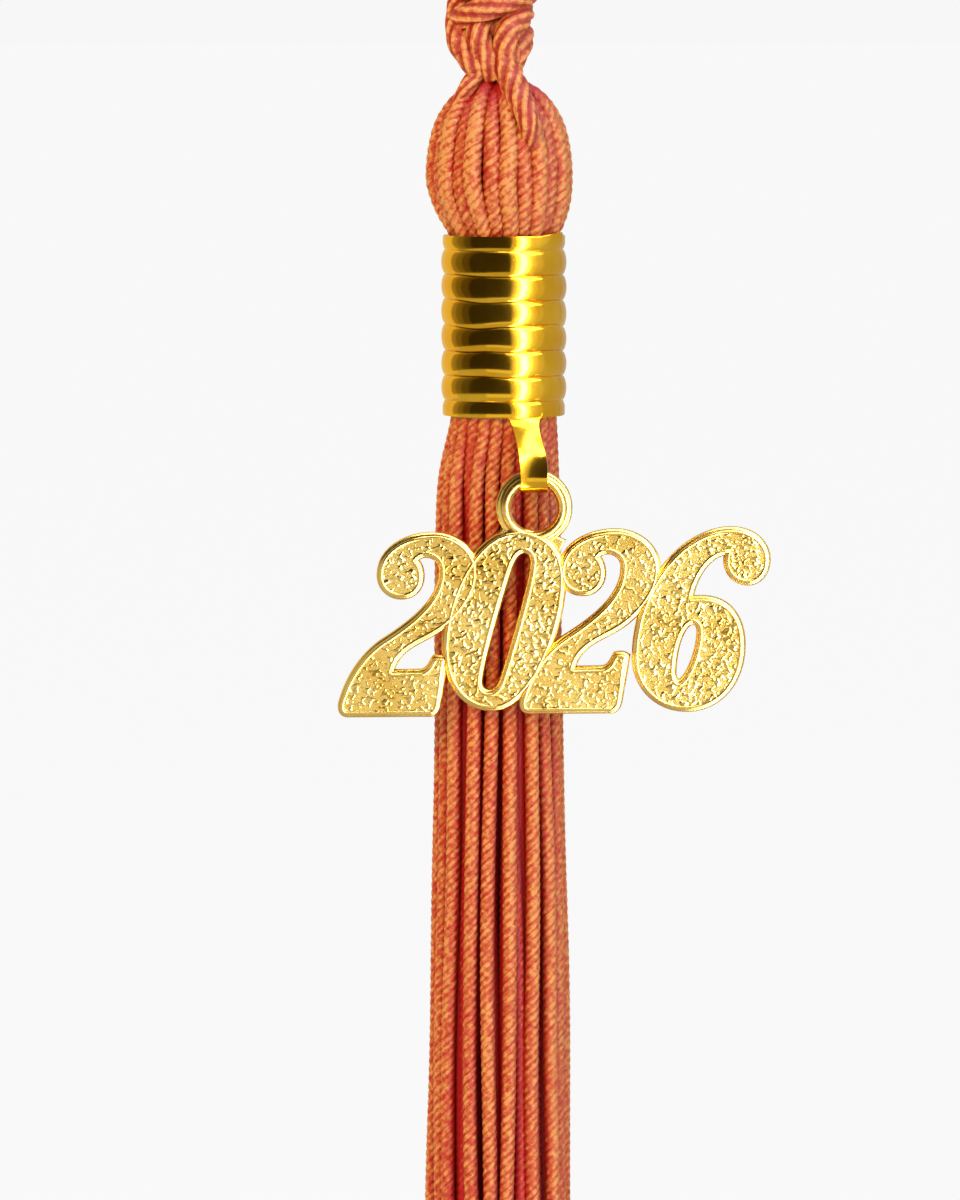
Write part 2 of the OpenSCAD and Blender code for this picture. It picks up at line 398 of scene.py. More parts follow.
def new_object(name: str, mesh: bpy.types.Mesh, finish: bpy.types.Material) -> bpy.types.Object:
    """Put a mesh in the scene in one material.

    Args:
        name: the piece's name.
        mesh: its mesh, already in place.
        finish: its material.

    Returns:
        The object.
    """
    mesh.materials.clear()
    mesh.materials.append(finish)
    return in_scene(name, mesh)


def spin(
    shape: bmesh.types.BMesh,
    geom: list[bmesh.types.BMVert | bmesh.types.BMEdge],
    angle: float,
    steps: int,
    rise: float = 0.0,
    merge: bool = False,
) -> None:
    """Spin an outline round the Z axis into a surface.

    Args:
        shape: the bmesh that holds it.
        geom: the outline's points and edges.
        angle: how far it turns.
        steps: how many steps it takes.
        rise: how far each step climbs.
        merge: whether its end joins its start.
    """
    bmesh.ops.spin(
        shape,
        geom=geom,
        cent=(0, 0, 0),
        axis=(0, 0, 1),
        dvec=(0, 0, rise),
        angle=angle,
        steps=steps,
        use_merge=merge,
        use_duplicate=False,
    )


def align_faces(shape: bmesh.types.BMesh) -> None:
    """Turn the faces of a closed shape outwards, or an open one's all the same way."""
    bmesh.ops.recalc_face_normals(shape, faces=shape.faces[:])


def around(
    reach: np.ndarray | float, azimuth: np.ndarray, z: np.ndarray, middle: np.ndarray | float = 0.0
) -> np.ndarray:
    """Place points round an upright line, at azimuths to the right of the front.

    Args:
        reach: how far from the line each point lies.
        azimuth: each point's direction.
        z: each point's height.
        middle: the line's x at each height.

    Returns:
        The points.
    """
    return np.stack([middle + reach * np.sin(azimuth), -reach * np.cos(azimuth), z], axis=1)


def to_mesh(name: str, shape: bmesh.types.BMesh, sharp_from: float = math.pi) -> bpy.types.Mesh:
    """Turn a bmesh into a smooth mesh and free it.

    Args:
        name: the mesh's name.
        shape: the bmesh.
        sharp_from: the angle from which its edges stay sharp.

    Returns:
        The mesh.
    """
    mesh = bpy.data.meshes.new(name)
    shape.to_mesh(mesh)
    shape.free()
    mesh.polygons.foreach_set("use_smooth", [True] * len(mesh.polygons))
    mesh.set_sharp_from_angle(angle=sharp_from)
    return mesh


def attach(piece: bpy.types.Object, body: Body, slot: Slot, *nodes: str) -> bpy.types.Object:
    """Make a piece ride on a body, in the place of some nodes.

    Args:
        piece: the piece.
        body: the body.
        slot: its material slot; not used.
        nodes: the nodes in whose place it stands.

    Returns:
        The piece.
    """
    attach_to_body(piece, body.value)
    if nodes:
        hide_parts(*nodes)
    return piece


def joined(name: str, pieces: list[bpy.types.Object]) -> bpy.types.Object:
    """Join pieces into one object that keeps each one's material.

    Args:
        name: the new object's name.
        pieces: the pieces, of which the first takes in the rest.

    Returns:
        The joined object.
    """
    with bpy.context.temp_override(
        active_object=pieces[0], object=pieces[0], selected_editable_objects=pieces
    ):
        bpy.ops.object.join()
    pieces[0].name = name
    return pieces[0]


class Route:
    """A smooth curve through given points, with a frame that doesn't twist."""

    def __init__(self, points: list[Point] | np.ndarray, fine: int = 12) -> None:
        """Smooth the points and find each sample's directions.

        Args:
            points: the points, in metres.
            fine: samples from each point to the next.
        """
        knots = np.asarray(points, float)
        padded = np.vstack([2 * knots[0] - knots[1], knots, 2 * knots[-1] - knots[-2]])
        t = np.linspace(0, 1, fine, endpoint=False)[:, None]
        spans = []
        for a, b, c, d in zip(padded, padded[1:], padded[2:], padded[3:]):
            spans.append(
                0.5
                * (
                    2 * b
                    + (c - a) * t
                    + (2 * a - 5 * b + 4 * c - d) * t**2
                    + (3 * b - a - 3 * c + d) * t**3
                )
            )
        self.line = np.vstack([*spans, knots[-1:]])
        steps = np.linalg.norm(np.diff(self.line, axis=0), axis=1)
        self.along = np.concatenate([[0.0], np.cumsum(steps)])
        self.side, self.up = self._frames()

    @property
    def length(self) -> float:
        """Length of the whole curve."""
        return float(self.along[-1])

    def _frames(self) -> tuple[np.ndarray, np.ndarray]:
        """Carry one side direction along the curve without twist.

        Returns:
            The side and the up direction at each sample.
        """
        ahead = np.gradient(self.line, axis=0)
        ahead /= np.linalg.norm(ahead, axis=1)[:, None]
        start = np.array([1.0, 0.0, 0.0]) if abs(ahead[0][0]) < 0.8 else np.array([0.0, 1.0, 0.0])
        side = np.empty_like(ahead)
        for k, direction in enumerate(ahead):
            start = start - direction * start.dot(direction)
            start /= np.linalg.norm(start)
            side[k] = start
        return side, np.cross(ahead, side)

    def at(self, s: np.ndarray) -> tuple[np.ndarray, np.ndarray, np.ndarray]:
        """Find the centre, side and up at each distance along the curve."""
        return tuple(
            np.stack([np.interp(s, self.along, table[:, k]) for k in range(3)], axis=1)
            for table in (self.line, self.side, self.up)
        )

    def points(self, count: int) -> list[Point]:
        """Give evenly spaced points on the curve."""
        centre, _, _ = self.at(np.linspace(0, self.length, count))
        return [tuple(map(float, p)) for p in centre]


PLY_SHARES = {2: 0.56, 3: 0.5, 4: 0.44, 6: 0.335}
PATTERN_SPREAD = 120.0


@dataclass(frozen=True)
class TwistedCord:
    """A cord of plies laid round each other."""

    diameter: float
    plies: int
    lead: float
    points_per_ply: int
    steps_per_lead: int
    relief: float = 0.75

    def section(self) -> list[tuple[float, float]]:
        """Find the outline of the plies' section.

        Returns:
            Points round it, each on the ply that stands furthest out there.
        """
        radius = self.diameter / 2
        ply = radius * PLY_SHARES[self.plies]
        out = radius - ply
        count = self.plies * self.points_per_ply
        outline = []
        for k in range(count):
            angle = TURN * k / count
            nearest = (angle + math.pi / self.plies) % (TURN / self.plies) - math.pi / self.plies
            across = out * math.sin(nearest)
            lobe = out * math.cos(nearest) + math.sqrt(max(ply**2 - across**2, 0.0))
            reach = radius + (lobe - radius) * self.relief
            outline.append((reach * math.cos(angle), reach * math.sin(angle)))
        return outline

    def straight(self, length: float) -> bpy.types.Mesh:
        """Spin the section up by one ply's turn, and repeat that along +Z.

        Args:
            length: the cord's length.

        Returns:
            The straight cord, closed at both ends.
        """
        shape = bmesh.new()
        ring = [shape.verts.new((x, y, 0.0)) for x, y in self.section()]
        edges = [shape.edges.new((a, b)) for a, b in zip(ring, ring[1:] + ring[:1])]
        units = self.unit_count(length)
        unit = length / units
        steps = round(self.steps_per_lead / self.plies)
        spin(shape, ring + edges, TURN / self.plies, steps, rise=unit / steps)
        made = 1
        while made < units:
            more = min(made, units - made)
            limit = unit * (more - 0.25 / steps)
            faces = [f for f in shape.faces if f.calc_center_median().z < limit]
            copied = bmesh.ops.duplicate(shape, geom=faces)["geom"]
            verts = [v for v in copied if isinstance(v, bmesh.types.BMVert)]
            bmesh.ops.translate(shape, vec=(0, 0, unit * made), verts=verts)
            made += more
        bmesh.ops.remove_doubles(shape, verts=shape.verts[:], dist=0.001 * MM)
        bmesh.ops.holes_fill(shape, edges=[e for e in shape.edges if e.is_boundary], sides=0)
        align_faces(shape)
        return to_mesh("straight_cord", shape)

    def unit_count(self, length: float) -> int:
        """Count the turns from one ply to the next over a length."""
        return max(1, round(length * self.plies / self.lead))

    def _weave(self, mesh: bpy.types.Mesh, start: float) -> None:
        """Store where each point lies on its ply, and how far out it stands, which the thread material
        turns into painted shade in the grooves and a painted highlight on the crests.

        Args:
            mesh: the cord, still straight.
            start: where the pattern starts, so that no two cords are alike.
        """
        x, y, z = coordinates(mesh).T
        lead = z.max() / self.unit_count(z.max()) * self.plies
        turned = np.arctan2(y, x) - TURN * z / lead
        reach = np.hypot(x, y)
        low = reach[reach > 0].min()
        weave = np.stack(
            [np.cos(turned) * self.plies, np.sin(turned) * self.plies, z / self.lead / 2 + start],
            axis=1,
        )
        set_attribute(mesh, "weave", weave)
        # How far out each point stands: the mask for the painted groove shade and crest highlight.
        set_attribute(mesh, "painted_crest_highlight", (reach - low) / (self.diameter / 2 - low))

    def laid(
        self,
        name: str,
        route: Route,
        straight: bpy.types.Mesh | None = None,
        turn: float = 0.0,
        widths: tuple[float, ...] = (1.0, 1.0),
    ) -> bpy.types.Mesh:
        """Bend a straight cord along a route.

        Args:
            name: the new mesh's name.
            route: the curve that the cord follows.
            straight: a straight cord of about the route's length, or None to make one.
            turn: how far the cord is turned about its own line.
            widths: shares of the diameter, spread evenly from the start to the end.

        Returns:
            The bent mesh.
        """
        mesh = straight.copy() if straight else self.straight(route.length)
        mesh.name = name
        x, y, z = coordinates(mesh).T
        self._weave(mesh, turn * PATTERN_SPREAD)
        share = z / z.max()
        width = np.interp(share, np.linspace(0, 1, len(widths)), widths)
        x, y = x * width, y * width
        s = share * route.length
        centre, side, up = route.at(s)
        cos, sin = math.cos(turn), math.sin(turn)
        bent = centre + side * (x * cos - y * sin)[:, None] + up * (x * sin + y * cos)[:, None]
        mesh.vertices.foreach_set("co", bent.astype(np.float32).ravel())
        mesh.update()
        return mesh


def coordinates(mesh: bpy.types.Mesh) -> np.ndarray:
    """Read a mesh's points as one array."""
    flat = np.empty(len(mesh.vertices) * 3, np.float32)
    mesh.vertices.foreach_get("co", flat)
    return flat.reshape(-1, 3).astype(float)


def set_attribute(mesh: bpy.types.Mesh, name: str, values: np.ndarray | float) -> None:
    """Store one number for a whole mesh, or a number or a vector for each of its points.

    Args:
        mesh: the mesh.
        name: the attribute's name.
        values: one number for all its points, or a number or a vector for each.
    """
    rows = np.asarray(values, np.float32)
    if rows.ndim == 0:
        rows = np.full(len(mesh.vertices), rows)
    kind, key = ("FLOAT_VECTOR", "vector") if rows.ndim == 2 else ("FLOAT", "value")
    held = mesh.attributes.get(name) or mesh.attributes.new(name, kind, "POINT")
    held.data.foreach_set(key, rows.ravel())


def smooth_step(low: float, high: float, value: np.ndarray | float) -> np.ndarray:
    """Rise smoothly from 0 at low to 1 at high."""
    t = np.clip((value - low) / (high - low), 0.0, 1.0)
    return t * t * (3 - 2 * t)


# ---- Threads -------------------------------------------------------------------------


@dataclass(frozen=True)
class Waves:
    """A long wave down a thread, with a shorter and smaller one on it."""

    long: float
    short: float
    share: float
    size: float

    def at(self, z: np.ndarray, phases: np.ndarray) -> np.ndarray:
        """Find the waves at each height, where 1 is the long wave's crest."""
        long = np.sin(TURN * z / self.long + phases[0])
        return long + self.share * np.sin(TURN * z / self.short + phases[1])


@dataclass(frozen=True)
class Levels:
    """Heights of the tassel's parts, read from the frame."""

    crown: float
    barrel: float
    mouth: float
    end: float

    @classmethod
    def from_frame(cls, barrel_length: float) -> "Levels":
        """Read the levels from the nodes' boxes."""
        barrel_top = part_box("barrel")[1].z
        return cls(
            crown=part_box("thread_fold")[1].z,
            barrel=barrel_top,
            mouth=barrel_top - barrel_length,
            end=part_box("thread_01")[0].z,
        )


@dataclass
class ThreadBundle:
    """The folded threads: their heads over the crown and their legs through the barrel."""

    levels: Levels
    ring_counts: tuple[int, ...] = (24, 18, 12, 6)
    ring_shares: tuple[float, ...] = (1.0, 0.748, 0.5, 0.25)
    thread_diameter: float = 1.22 * MM
    head_diameter: float = 1.5 * MM
    head_widths: tuple[float, ...] = (0.7, 0.8, 0.95, 1.06, 1.08, 1.0, 0.8, 0.75)
    head_spacing: float = 1.15 * MM
    tuck: float = 1.0 * MM
    tucked_every: int = 4
    plies: int = 4
    lead: float = 2.8 * MM
    relief: float = 0.4
    squeezed_radius: float = 3.9 * MM
    lean: float = -0.42 * MM
    lean_from: float = 5 * MM
    leg_start: float = 5 * MM
    leg_points: int = 34
    free_from: float = 9 * MM
    tucked_shift: float = 0.035
    spread_shift: float = 0.065
    slip: float = 0.16 * MM
    sway_from: float = 25 * MM
    uneven: float = 2.5 * MM
    sway: Waves = Waves(long=95 * MM, short=41 * MM, share=0.4, size=0.22 * MM)
    drift: Waves = Waves(long=70 * MM, short=27 * MM, share=0.5, size=0.1 * MM)
    drift_inwards: float = 0.7
    head_end: float = 3 * MM
    head_sway: float = 0.09 * MM
    head_wave: float = 9 * MM
    head_twist: float = 0.03
    declared_legs: int = 39
    seed: int = 26

    def __post_init__(self) -> None:
        """Set the bundle's outer radius at each height, from the crown down."""
        top, mouth = self.levels.barrel, self.levels.mouth
        self.random = np.random.default_rng(self.seed)
        rows = [
            (self.levels.crown - 1.1 * MM, 4.45 * MM),
            (self.levels.crown - 2.6 * MM, 5.15 * MM),
            (self.levels.crown - 5.1 * MM, 5.85 * MM),
            (self.levels.crown - 7.7 * MM, 6.05 * MM),
            (top + 2.2 * MM, 5.5 * MM),
            (top + 0.4 * MM, 4.75 * MM),
            (top - 1.3 * MM, self.squeezed_radius),
            (mouth + 1.3 * MM, self.squeezed_radius),
            (mouth - 1.4 * MM, 4.85 * MM),
            (mouth - 9 * MM, 5.2 * MM),
            (mouth - 25 * MM, 5.45 * MM),
            (mouth - 63 * MM, 6.1 * MM),
            (self.levels.end, 6.25 * MM),
        ]
        self.heights, self.radii = (np.array(column[::-1]) for column in zip(*rows))

    def radius(self, z: np.ndarray) -> np.ndarray:
        """Find the bundle's outer radius at each height."""
        return np.interp(z, self.heights, self.radii)

    def offset(self, z: np.ndarray) -> np.ndarray:
        """Find how far the bundle leans to the left, outside the barrel.

        Args:
            z: the heights.

        Returns:
            The x of its middle at each height.
        """
        top, mouth = self.levels.barrel, self.levels.mouth
        above = smooth_step(top, top + self.lean_from, z)
        below = 1 - smooth_step(mouth - 6 * MM, mouth, z)
        return self.lean * (above + below)

    def leg_route(self, ring: int, leg: int, shorter: float) -> Route:
        """Choose the way of one leg from inside the barrel to its cut end.

        Args:
            ring: which ring of the bundle it lies in.
            leg: its place in the ring.
            shorter: how much shorter than the longest leg it is cut.

        Returns:
            Its route, from the top down.
        """
        z = np.linspace(self.levels.mouth + self.leg_start, self.levels.end + shorter, self.leg_points)
        below = smooth_step(0, self.sway_from, self.levels.mouth - z)
        azimuth = np.full(len(z), TURN * (leg + 0.5) / self.ring_counts[ring])
        reach = (self.radius(z) - self.thread_diameter / 2) * self.ring_shares[ring]
        if ring == 0:
            free = smooth_step(0, self.free_from, self.levels.mouth - z)
            azimuth, inward = self.spread(leg, azimuth, free)
            reach -= inward
        phases = self.random.uniform(0, TURN, 4)
        swayed = self.sway.at(z, phases[:2]) * below * self.sway.size
        drifted = (self.drift.at(z, phases[2:]) - self.drift_inwards) * below * self.drift.size
        angle = azimuth + swayed / np.maximum(reach, 1 * MM)
        return Route(around(reach + drifted, angle, z, self.offset(z)), fine=6)

    def spread(self, leg: int, azimuth: np.ndarray, free: np.ndarray) -> tuple[np.ndarray, np.ndarray]:
        """Slip some legs of the outer ring in below it, and spread the others over the gaps.

        Args:
            leg: the leg's place in the ring.
            azimuth: its azimuth at each height.
            free: how free of the barrel it is at each height, from 0 to 1.

        Returns:
            Its new azimuth at each height, and how far in it slips.
        """
        pitch = TURN / self.ring_counts[0]
        group = pitch * self.tucked_every
        middle = group * (leg // self.tucked_every) + pitch * 1.5
        moved = azimuth + self.random.uniform(-self.tucked_shift, self.tucked_shift)
        tucked = leg % self.tucked_every == 1
        if not tucked:
            side = 1 if azimuth[0] > middle else -1
            step = abs((azimuth - middle) / pitch) - 0.5
            moved = middle + side * step * pitch * self.tucked_every / (self.tucked_every - 1)
            moved += self.random.uniform(-self.spread_shift, self.spread_shift)
        inward = free * (self.tuck if tucked else self.random.uniform(0, self.slip))
        return azimuth * (1 - free) + moved * free, inward

    def head_route(self, ring: int, azimuth: float, tuck: float) -> Route:
        """Choose the way of one thread over the head, from the crown into the barrel.

        Args:
            ring: which ring of the bundle it lies in.
            azimuth: its place in the ring, from the front.
            tuck: how far its top is tucked under its neighbours.

        Returns:
            Its route, from the crown down.
        """
        crown, top = self.levels.crown, self.levels.barrel
        half = self.head_diameter / 2
        inward = ring * self.head_spacing + tuck
        rows = [
            (0.8 * MM, crown + 0.15 * MM - tuck),
            (2.0 * MM, crown - 0.1 * MM - tuck),
            (3.3 * MM, crown - 0.9 * MM - tuck * 0.8),
            (4.3 * MM, crown - 2.2 * MM - tuck * 0.5),
            (4.95 * MM, crown - 3.8 * MM),
            (6.05 * MM - half, crown - 6.0 * MM),
            (6.1 * MM - half, crown - 7.8 * MM),
            (5.8 * MM - half, crown - 9.6 * MM),
            (5.1 * MM - half, top + 0.8 * MM),
            (4.4 * MM - half, top - 0.5 * MM),
            (self.squeezed_radius - half, top - 1.8 * MM),
            (self.squeezed_radius - half, top - self.head_end),
        ]
        reach, z = (np.array(column) for column in zip(*rows))
        reach = np.maximum(reach - inward * smooth_step(0.8 * MM, 4 * MM, reach), 0.5 * MM)
        phases = self.random.uniform(0, TURN, 2)
        sway = np.sin(TURN * z / self.head_wave + phases[0]) * self.head_sway
        free = smooth_step(top, top + 2 * MM, z)
        twist = self.head_twist * np.sin(phases[1]) * smooth_step(top, crown, z)
        return Route(around(reach, azimuth + sway * free / reach + twist, z, self.offset(z)), fine=8)

    def shade(self, mesh: bpy.types.Mesh) -> None:
        """Store how far out of the bundle each point lies, from deep between threads to outermost, for the
        painted shade between threads.

        Args:
            mesh: a thread's mesh, in its place.
        """
        x, y, z = coordinates(mesh).T
        reach = np.hypot(x - self.offset(z), y)
        depth = 1 - (self.radius(z) - reach) / (self.thread_diameter * 1.1)
        set_attribute(mesh, "depth", np.clip(depth, 0.0, 1.0))

    def thread_name(self, ring: int, leg: int) -> str:
        """Name the folded thread that a leg belongs to.

        Args:
            ring: which ring of the bundle the leg lies in.
            leg: its place in the ring.

        Returns:
            The name of the thread's node.
        """
        half = self.ring_counts[ring] // 2
        number = sum(self.ring_counts[:ring]) // 2 + leg % half + 1
        return f"thread_{number:02d}"

    def build(self) -> None:
        """Build and dress every leg and head."""
        finish = THREAD.material()
        full = self.levels.mouth + self.leg_start - self.levels.end
        declared = 0
        for ring, count in enumerate(self.ring_counts):
            points, steps = (4, 16) if ring == 0 else (2, 12)
            cord = TwistedCord(self.thread_diameter, self.plies, self.lead, points, steps, self.relief)
            straight = cord.straight(full)
            for leg in range(count):
                side = "a" if leg < count // 2 else "b"
                thread = self.thread_name(ring, leg)
                route = self.leg_route(ring, leg, self.random.uniform(0, self.uneven))
                mesh = cord.laid("leg", route, straight, self.random.uniform(0, TURN))
                self.shade(mesh)
                piece = new_object(f"{thread}_leg_{side}", mesh, finish)
                attach(piece, Body.TASSEL, Slot.THREAD, thread)
                if declared < self.declared_legs:
                    self.declare(route)
                    declared += 1
                if ring < len(self.ring_counts) - 1:
                    self.build_head(ring, leg, f"{thread}_head_{side}", finish)
            bpy.data.meshes.remove(straight)
            LOG.info("ring %d of the bundle: %d legs", ring + 1, count)

    def declare(self, route: Route) -> None:
        """Sample a leg's route at its start and at 60 points; neither result is kept."""
        centre, _, _ = route.at(np.array([self.leg_start]))
        route.points(60)

    def build_head(self, ring: int, leg: int, name: str, finish: bpy.types.Material) -> None:
        """Build one thread's stretch over the head.

        Args:
            ring: which ring it lies in.
            leg: its place in the ring.
            name: the piece's name.
            finish: its material.
        """
        cord = TwistedCord(self.head_diameter, self.plies, self.lead, 4, 24, self.relief)
        azimuth = TURN * (leg + 0.5) / self.ring_counts[ring]
        tuck = (0.3 * MM if leg % 2 else 0.0) + self.random.uniform(0, 0.15) * MM
        route = self.head_route(ring, azimuth, tuck)
        mesh = cord.laid("head", route, turn=self.random.uniform(0, TURN), widths=self.head_widths)
        self.shade(mesh)
        attach(new_object(name, mesh, finish), Body.TASSEL, Slot.THREAD)


# ---- Hanging cord --------------------------------------------------------------------


@dataclass
class HangingCord:
    """The loop, its knot and the cords that tie the head."""

    levels: Levels
    diameter: float = 2.4 * MM
    knot_diameter: float = 2.1 * MM
    core_diameter: float = 4.0 * MM
    lead: float = 8.5 * MM
    knot_lead: float = 10.5 * MM
    # How far out of the bundle the cord counts as lying, which sets its painted shade.
    shade: float = 0.85

    def half_loop(self) -> list[tuple[float, float]]:
        """Give half of the loop's route, from the knot to its top: x and z in millimetres."""
        return [
            (1.3, -85), (1.5, -79), (2, -73), (2.7, -67), (3.4, -61), (4.1, -55), (4.8, -49),
            (5.4, -43), (6, -37), (6.5, -31), (6.9, -25), (7.2, -19), (7.2, -13.5),
            (6.8, -8.5), (5.7, -4), (3.9, -0.8), (2, 0.8), (0, 1.2),
        ]  # fmt: skip

    def cord(self, diameter: float | None = None) -> TwistedCord:
        """Make the cord: three plies, or six looser ones at a diameter of the knot's.

        Args:
            diameter: the diameter in the knot, or None for the loop.

        Returns:
            The cord.
        """
        if diameter is None:
            return TwistedCord(self.diameter, 3, self.lead, points_per_ply=7, steps_per_lead=30)
        return TwistedCord(diameter, 6, self.knot_lead, points_per_ply=5, steps_per_lead=72, relief=0.7)

    def piece(
        self,
        name: str,
        points: list[Point],
        finish: bpy.types.Material,
        diameter: float | None = None,
        widths: tuple[float, ...] = (1.0, 1.0),
    ) -> tuple[bpy.types.Object, Route]:
        """Lay the cord through points, turned by its length so that no two look alike.

        Args:
            name: the piece's name.
            points: the route's points, in millimetres.
            finish: the material.
            diameter: another diameter than the loop's.
            widths: shares of the diameter along it.

        Returns:
            The piece and its route.
        """
        route = Route(np.array(points, float) * MM, fine=10)
        turn = route.length / self.knot_lead
        mesh = self.cord(diameter).laid(name, route, turn=turn, widths=widths)
        set_attribute(mesh, "depth", self.shade)
        return new_object(name, mesh, finish), route

    def build(self) -> None:
        """Build the loop, the knot and the neck cords."""
        finish = CORD.material()
        self.build_loop(finish)
        self.build_knot(finish)
        self.build_neck(finish)
        LOG.info("hanging cord: loop, knot and neck cords")

    def build_loop(self, finish: bpy.types.Material) -> None:
        half = self.half_loop()
        points = [(x, 0, z) for x, z in half] + [(-x, 0, z) for x, z in half[-2::-1]]
        loop, route = self.piece("hanger_loop_cord", points, finish)
        attach(loop, Body.TASSEL, Slot.CORD, "hanger_loop")
        route.points(2)[0]
        route.points(120)

    def build_knot(self, finish: bpy.types.Material) -> None:
        """Build the knot: the loop's ends wound round each other over a core and pulled tight."""
        strands = {
            "left": [
                (-1.3, 0, -84.7), (-2.4, 0.5, -87.2), (-3.4, 0.5, -89.8), (-3.75, -0.3, -92.0),
                (-3.6, -1.2, -93.8), (-2.7, -1.7, -95.2), (-1.9, -1.5, -96.4),
            ],
            "middle": [
                (-0.4, 0.6, -88.5), (-1.3, -0.6, -90.9), (-2.0, -1.5, -92.3), (-1.95, -2.1, -93.9),
                (-1.3, -2.0, -95.3), (-0.6, -1.7, -96.6),
            ],
            "low_turn": self.wound(-0.95, -90.9, 2.75, 1.15),
            "middle_turn": self.wound(-0.6, -88.7, 2.6, 0.95),
            "high_turn": self.wound(-0.25, -86.5, 2.4, 0.8),
            "right": [
                (-0.9, 2.0, -90.6), (0.7, 1.6, -90.9), (1.45, 0.2, -91.3), (1.2, -1.4, -91.9),
                (0.4, -2.4, -92.8), (0.1, -2.5, -93.9), (0.3, -2.0, -95.1), (0.5, -1.7, -96.2),
            ],
            "low_right": [
                (0.2, 1.7, -91.8), (1.1, 0.8, -92.5), (1.45, -0.4, -93.4), (1.1, -1.2, -94.5),
                (0.5, -1.3, -95.7), (0.2, -1.1, -96.8),
            ],
            "right_leg": [
                (1.3, 0, -84.7), (0.9, 0.3, -87.5), (0.3, 0.9, -90.5), (-0.4, 1.0, -93.5),
                (-0.6, 0.4, -96.6),
            ],
            "core": [
                (-0.2, 0.3, -85.3), (-0.4, 0.3, -88), (-0.7, 0.3, -91), (-0.8, 0.1, -94),
                (-0.6, 0.0, -97.2),
            ],
        }  # fmt: skip
        for name, points in strands.items():
            diameter = self.core_diameter if name == "core" else self.knot_diameter
            piece, _ = self.piece(f"hanger_knot_{name}", points, finish, diameter)
            attach(piece, Body.TASSEL, Slot.CORD, "hanger_knot")

    @staticmethod
    def wound(middle: float, height: float, reach: float, rise: float) -> list[Point]:
        """Give the points of one turn that climbs to the right in front.

        Args:
            middle: x of its centre, in millimetres.
            height: z of its centre.
            reach: radius of its centre line.
            rise: half of how much higher its right side lies.

        Returns:
            Its points, which start and end behind.
        """
        steps, depth, fall = 13, 0.86, 0.5
        points = []
        for k in range(steps + 2):
            angle = TURN * (k / steps + 0.25)
            x, y = reach * math.cos(angle), reach * depth * math.sin(angle)
            lift = rise * math.cos(angle) - fall * (k / steps - 0.5)
            points.append((middle + x, y, height + lift))
        return points

    def build_neck(self, finish: bpy.types.Material) -> None:
        """Build the two cords from the knot over the head's crown."""
        left = [
            (-1.3, -1.0, -94.9), (-1.8, -1.3, -95.8), (-2.4, -1.7, -96.7), (-3.0, -2.1, -97.5),
            (-3.5, -2.0, -98.6), (-3.6, -1.6, -99.6),
        ]  # fmt: skip
        right = [
            (-0.3, -1.4, -94.4), (0.0, -2.2, -95.4), (0.5, -2.9, -96.5), (1.0, -3.8, -97.7),
            (1.45, -4.7, -98.8), (1.85, -5.2, -99.8), (2.1, -5.1, -100.8), (2.2, -4.4, -101.8),
            (2.2, -3.4, -102.8),
        ]  # fmt: skip
        rows = (
            ("neck_cord_left", left, 1.7 * MM, (1.0, 0.9, 0.75)),
            ("neck_cord_right", right, 2.35 * MM, (0.95, 1.0, 0.97, 0.85, 0.65, 0.4)),
        )
        for node, points, diameter, widths in rows:
            piece, _ = self.piece(f"{node}_twist", points, finish, diameter, widths)
            attach(piece, Body.TASSEL, Slot.CORD, node)


# ---- Barrel --------------------------------------------------------------------------

SHEET_EDGE = math.radians(50)


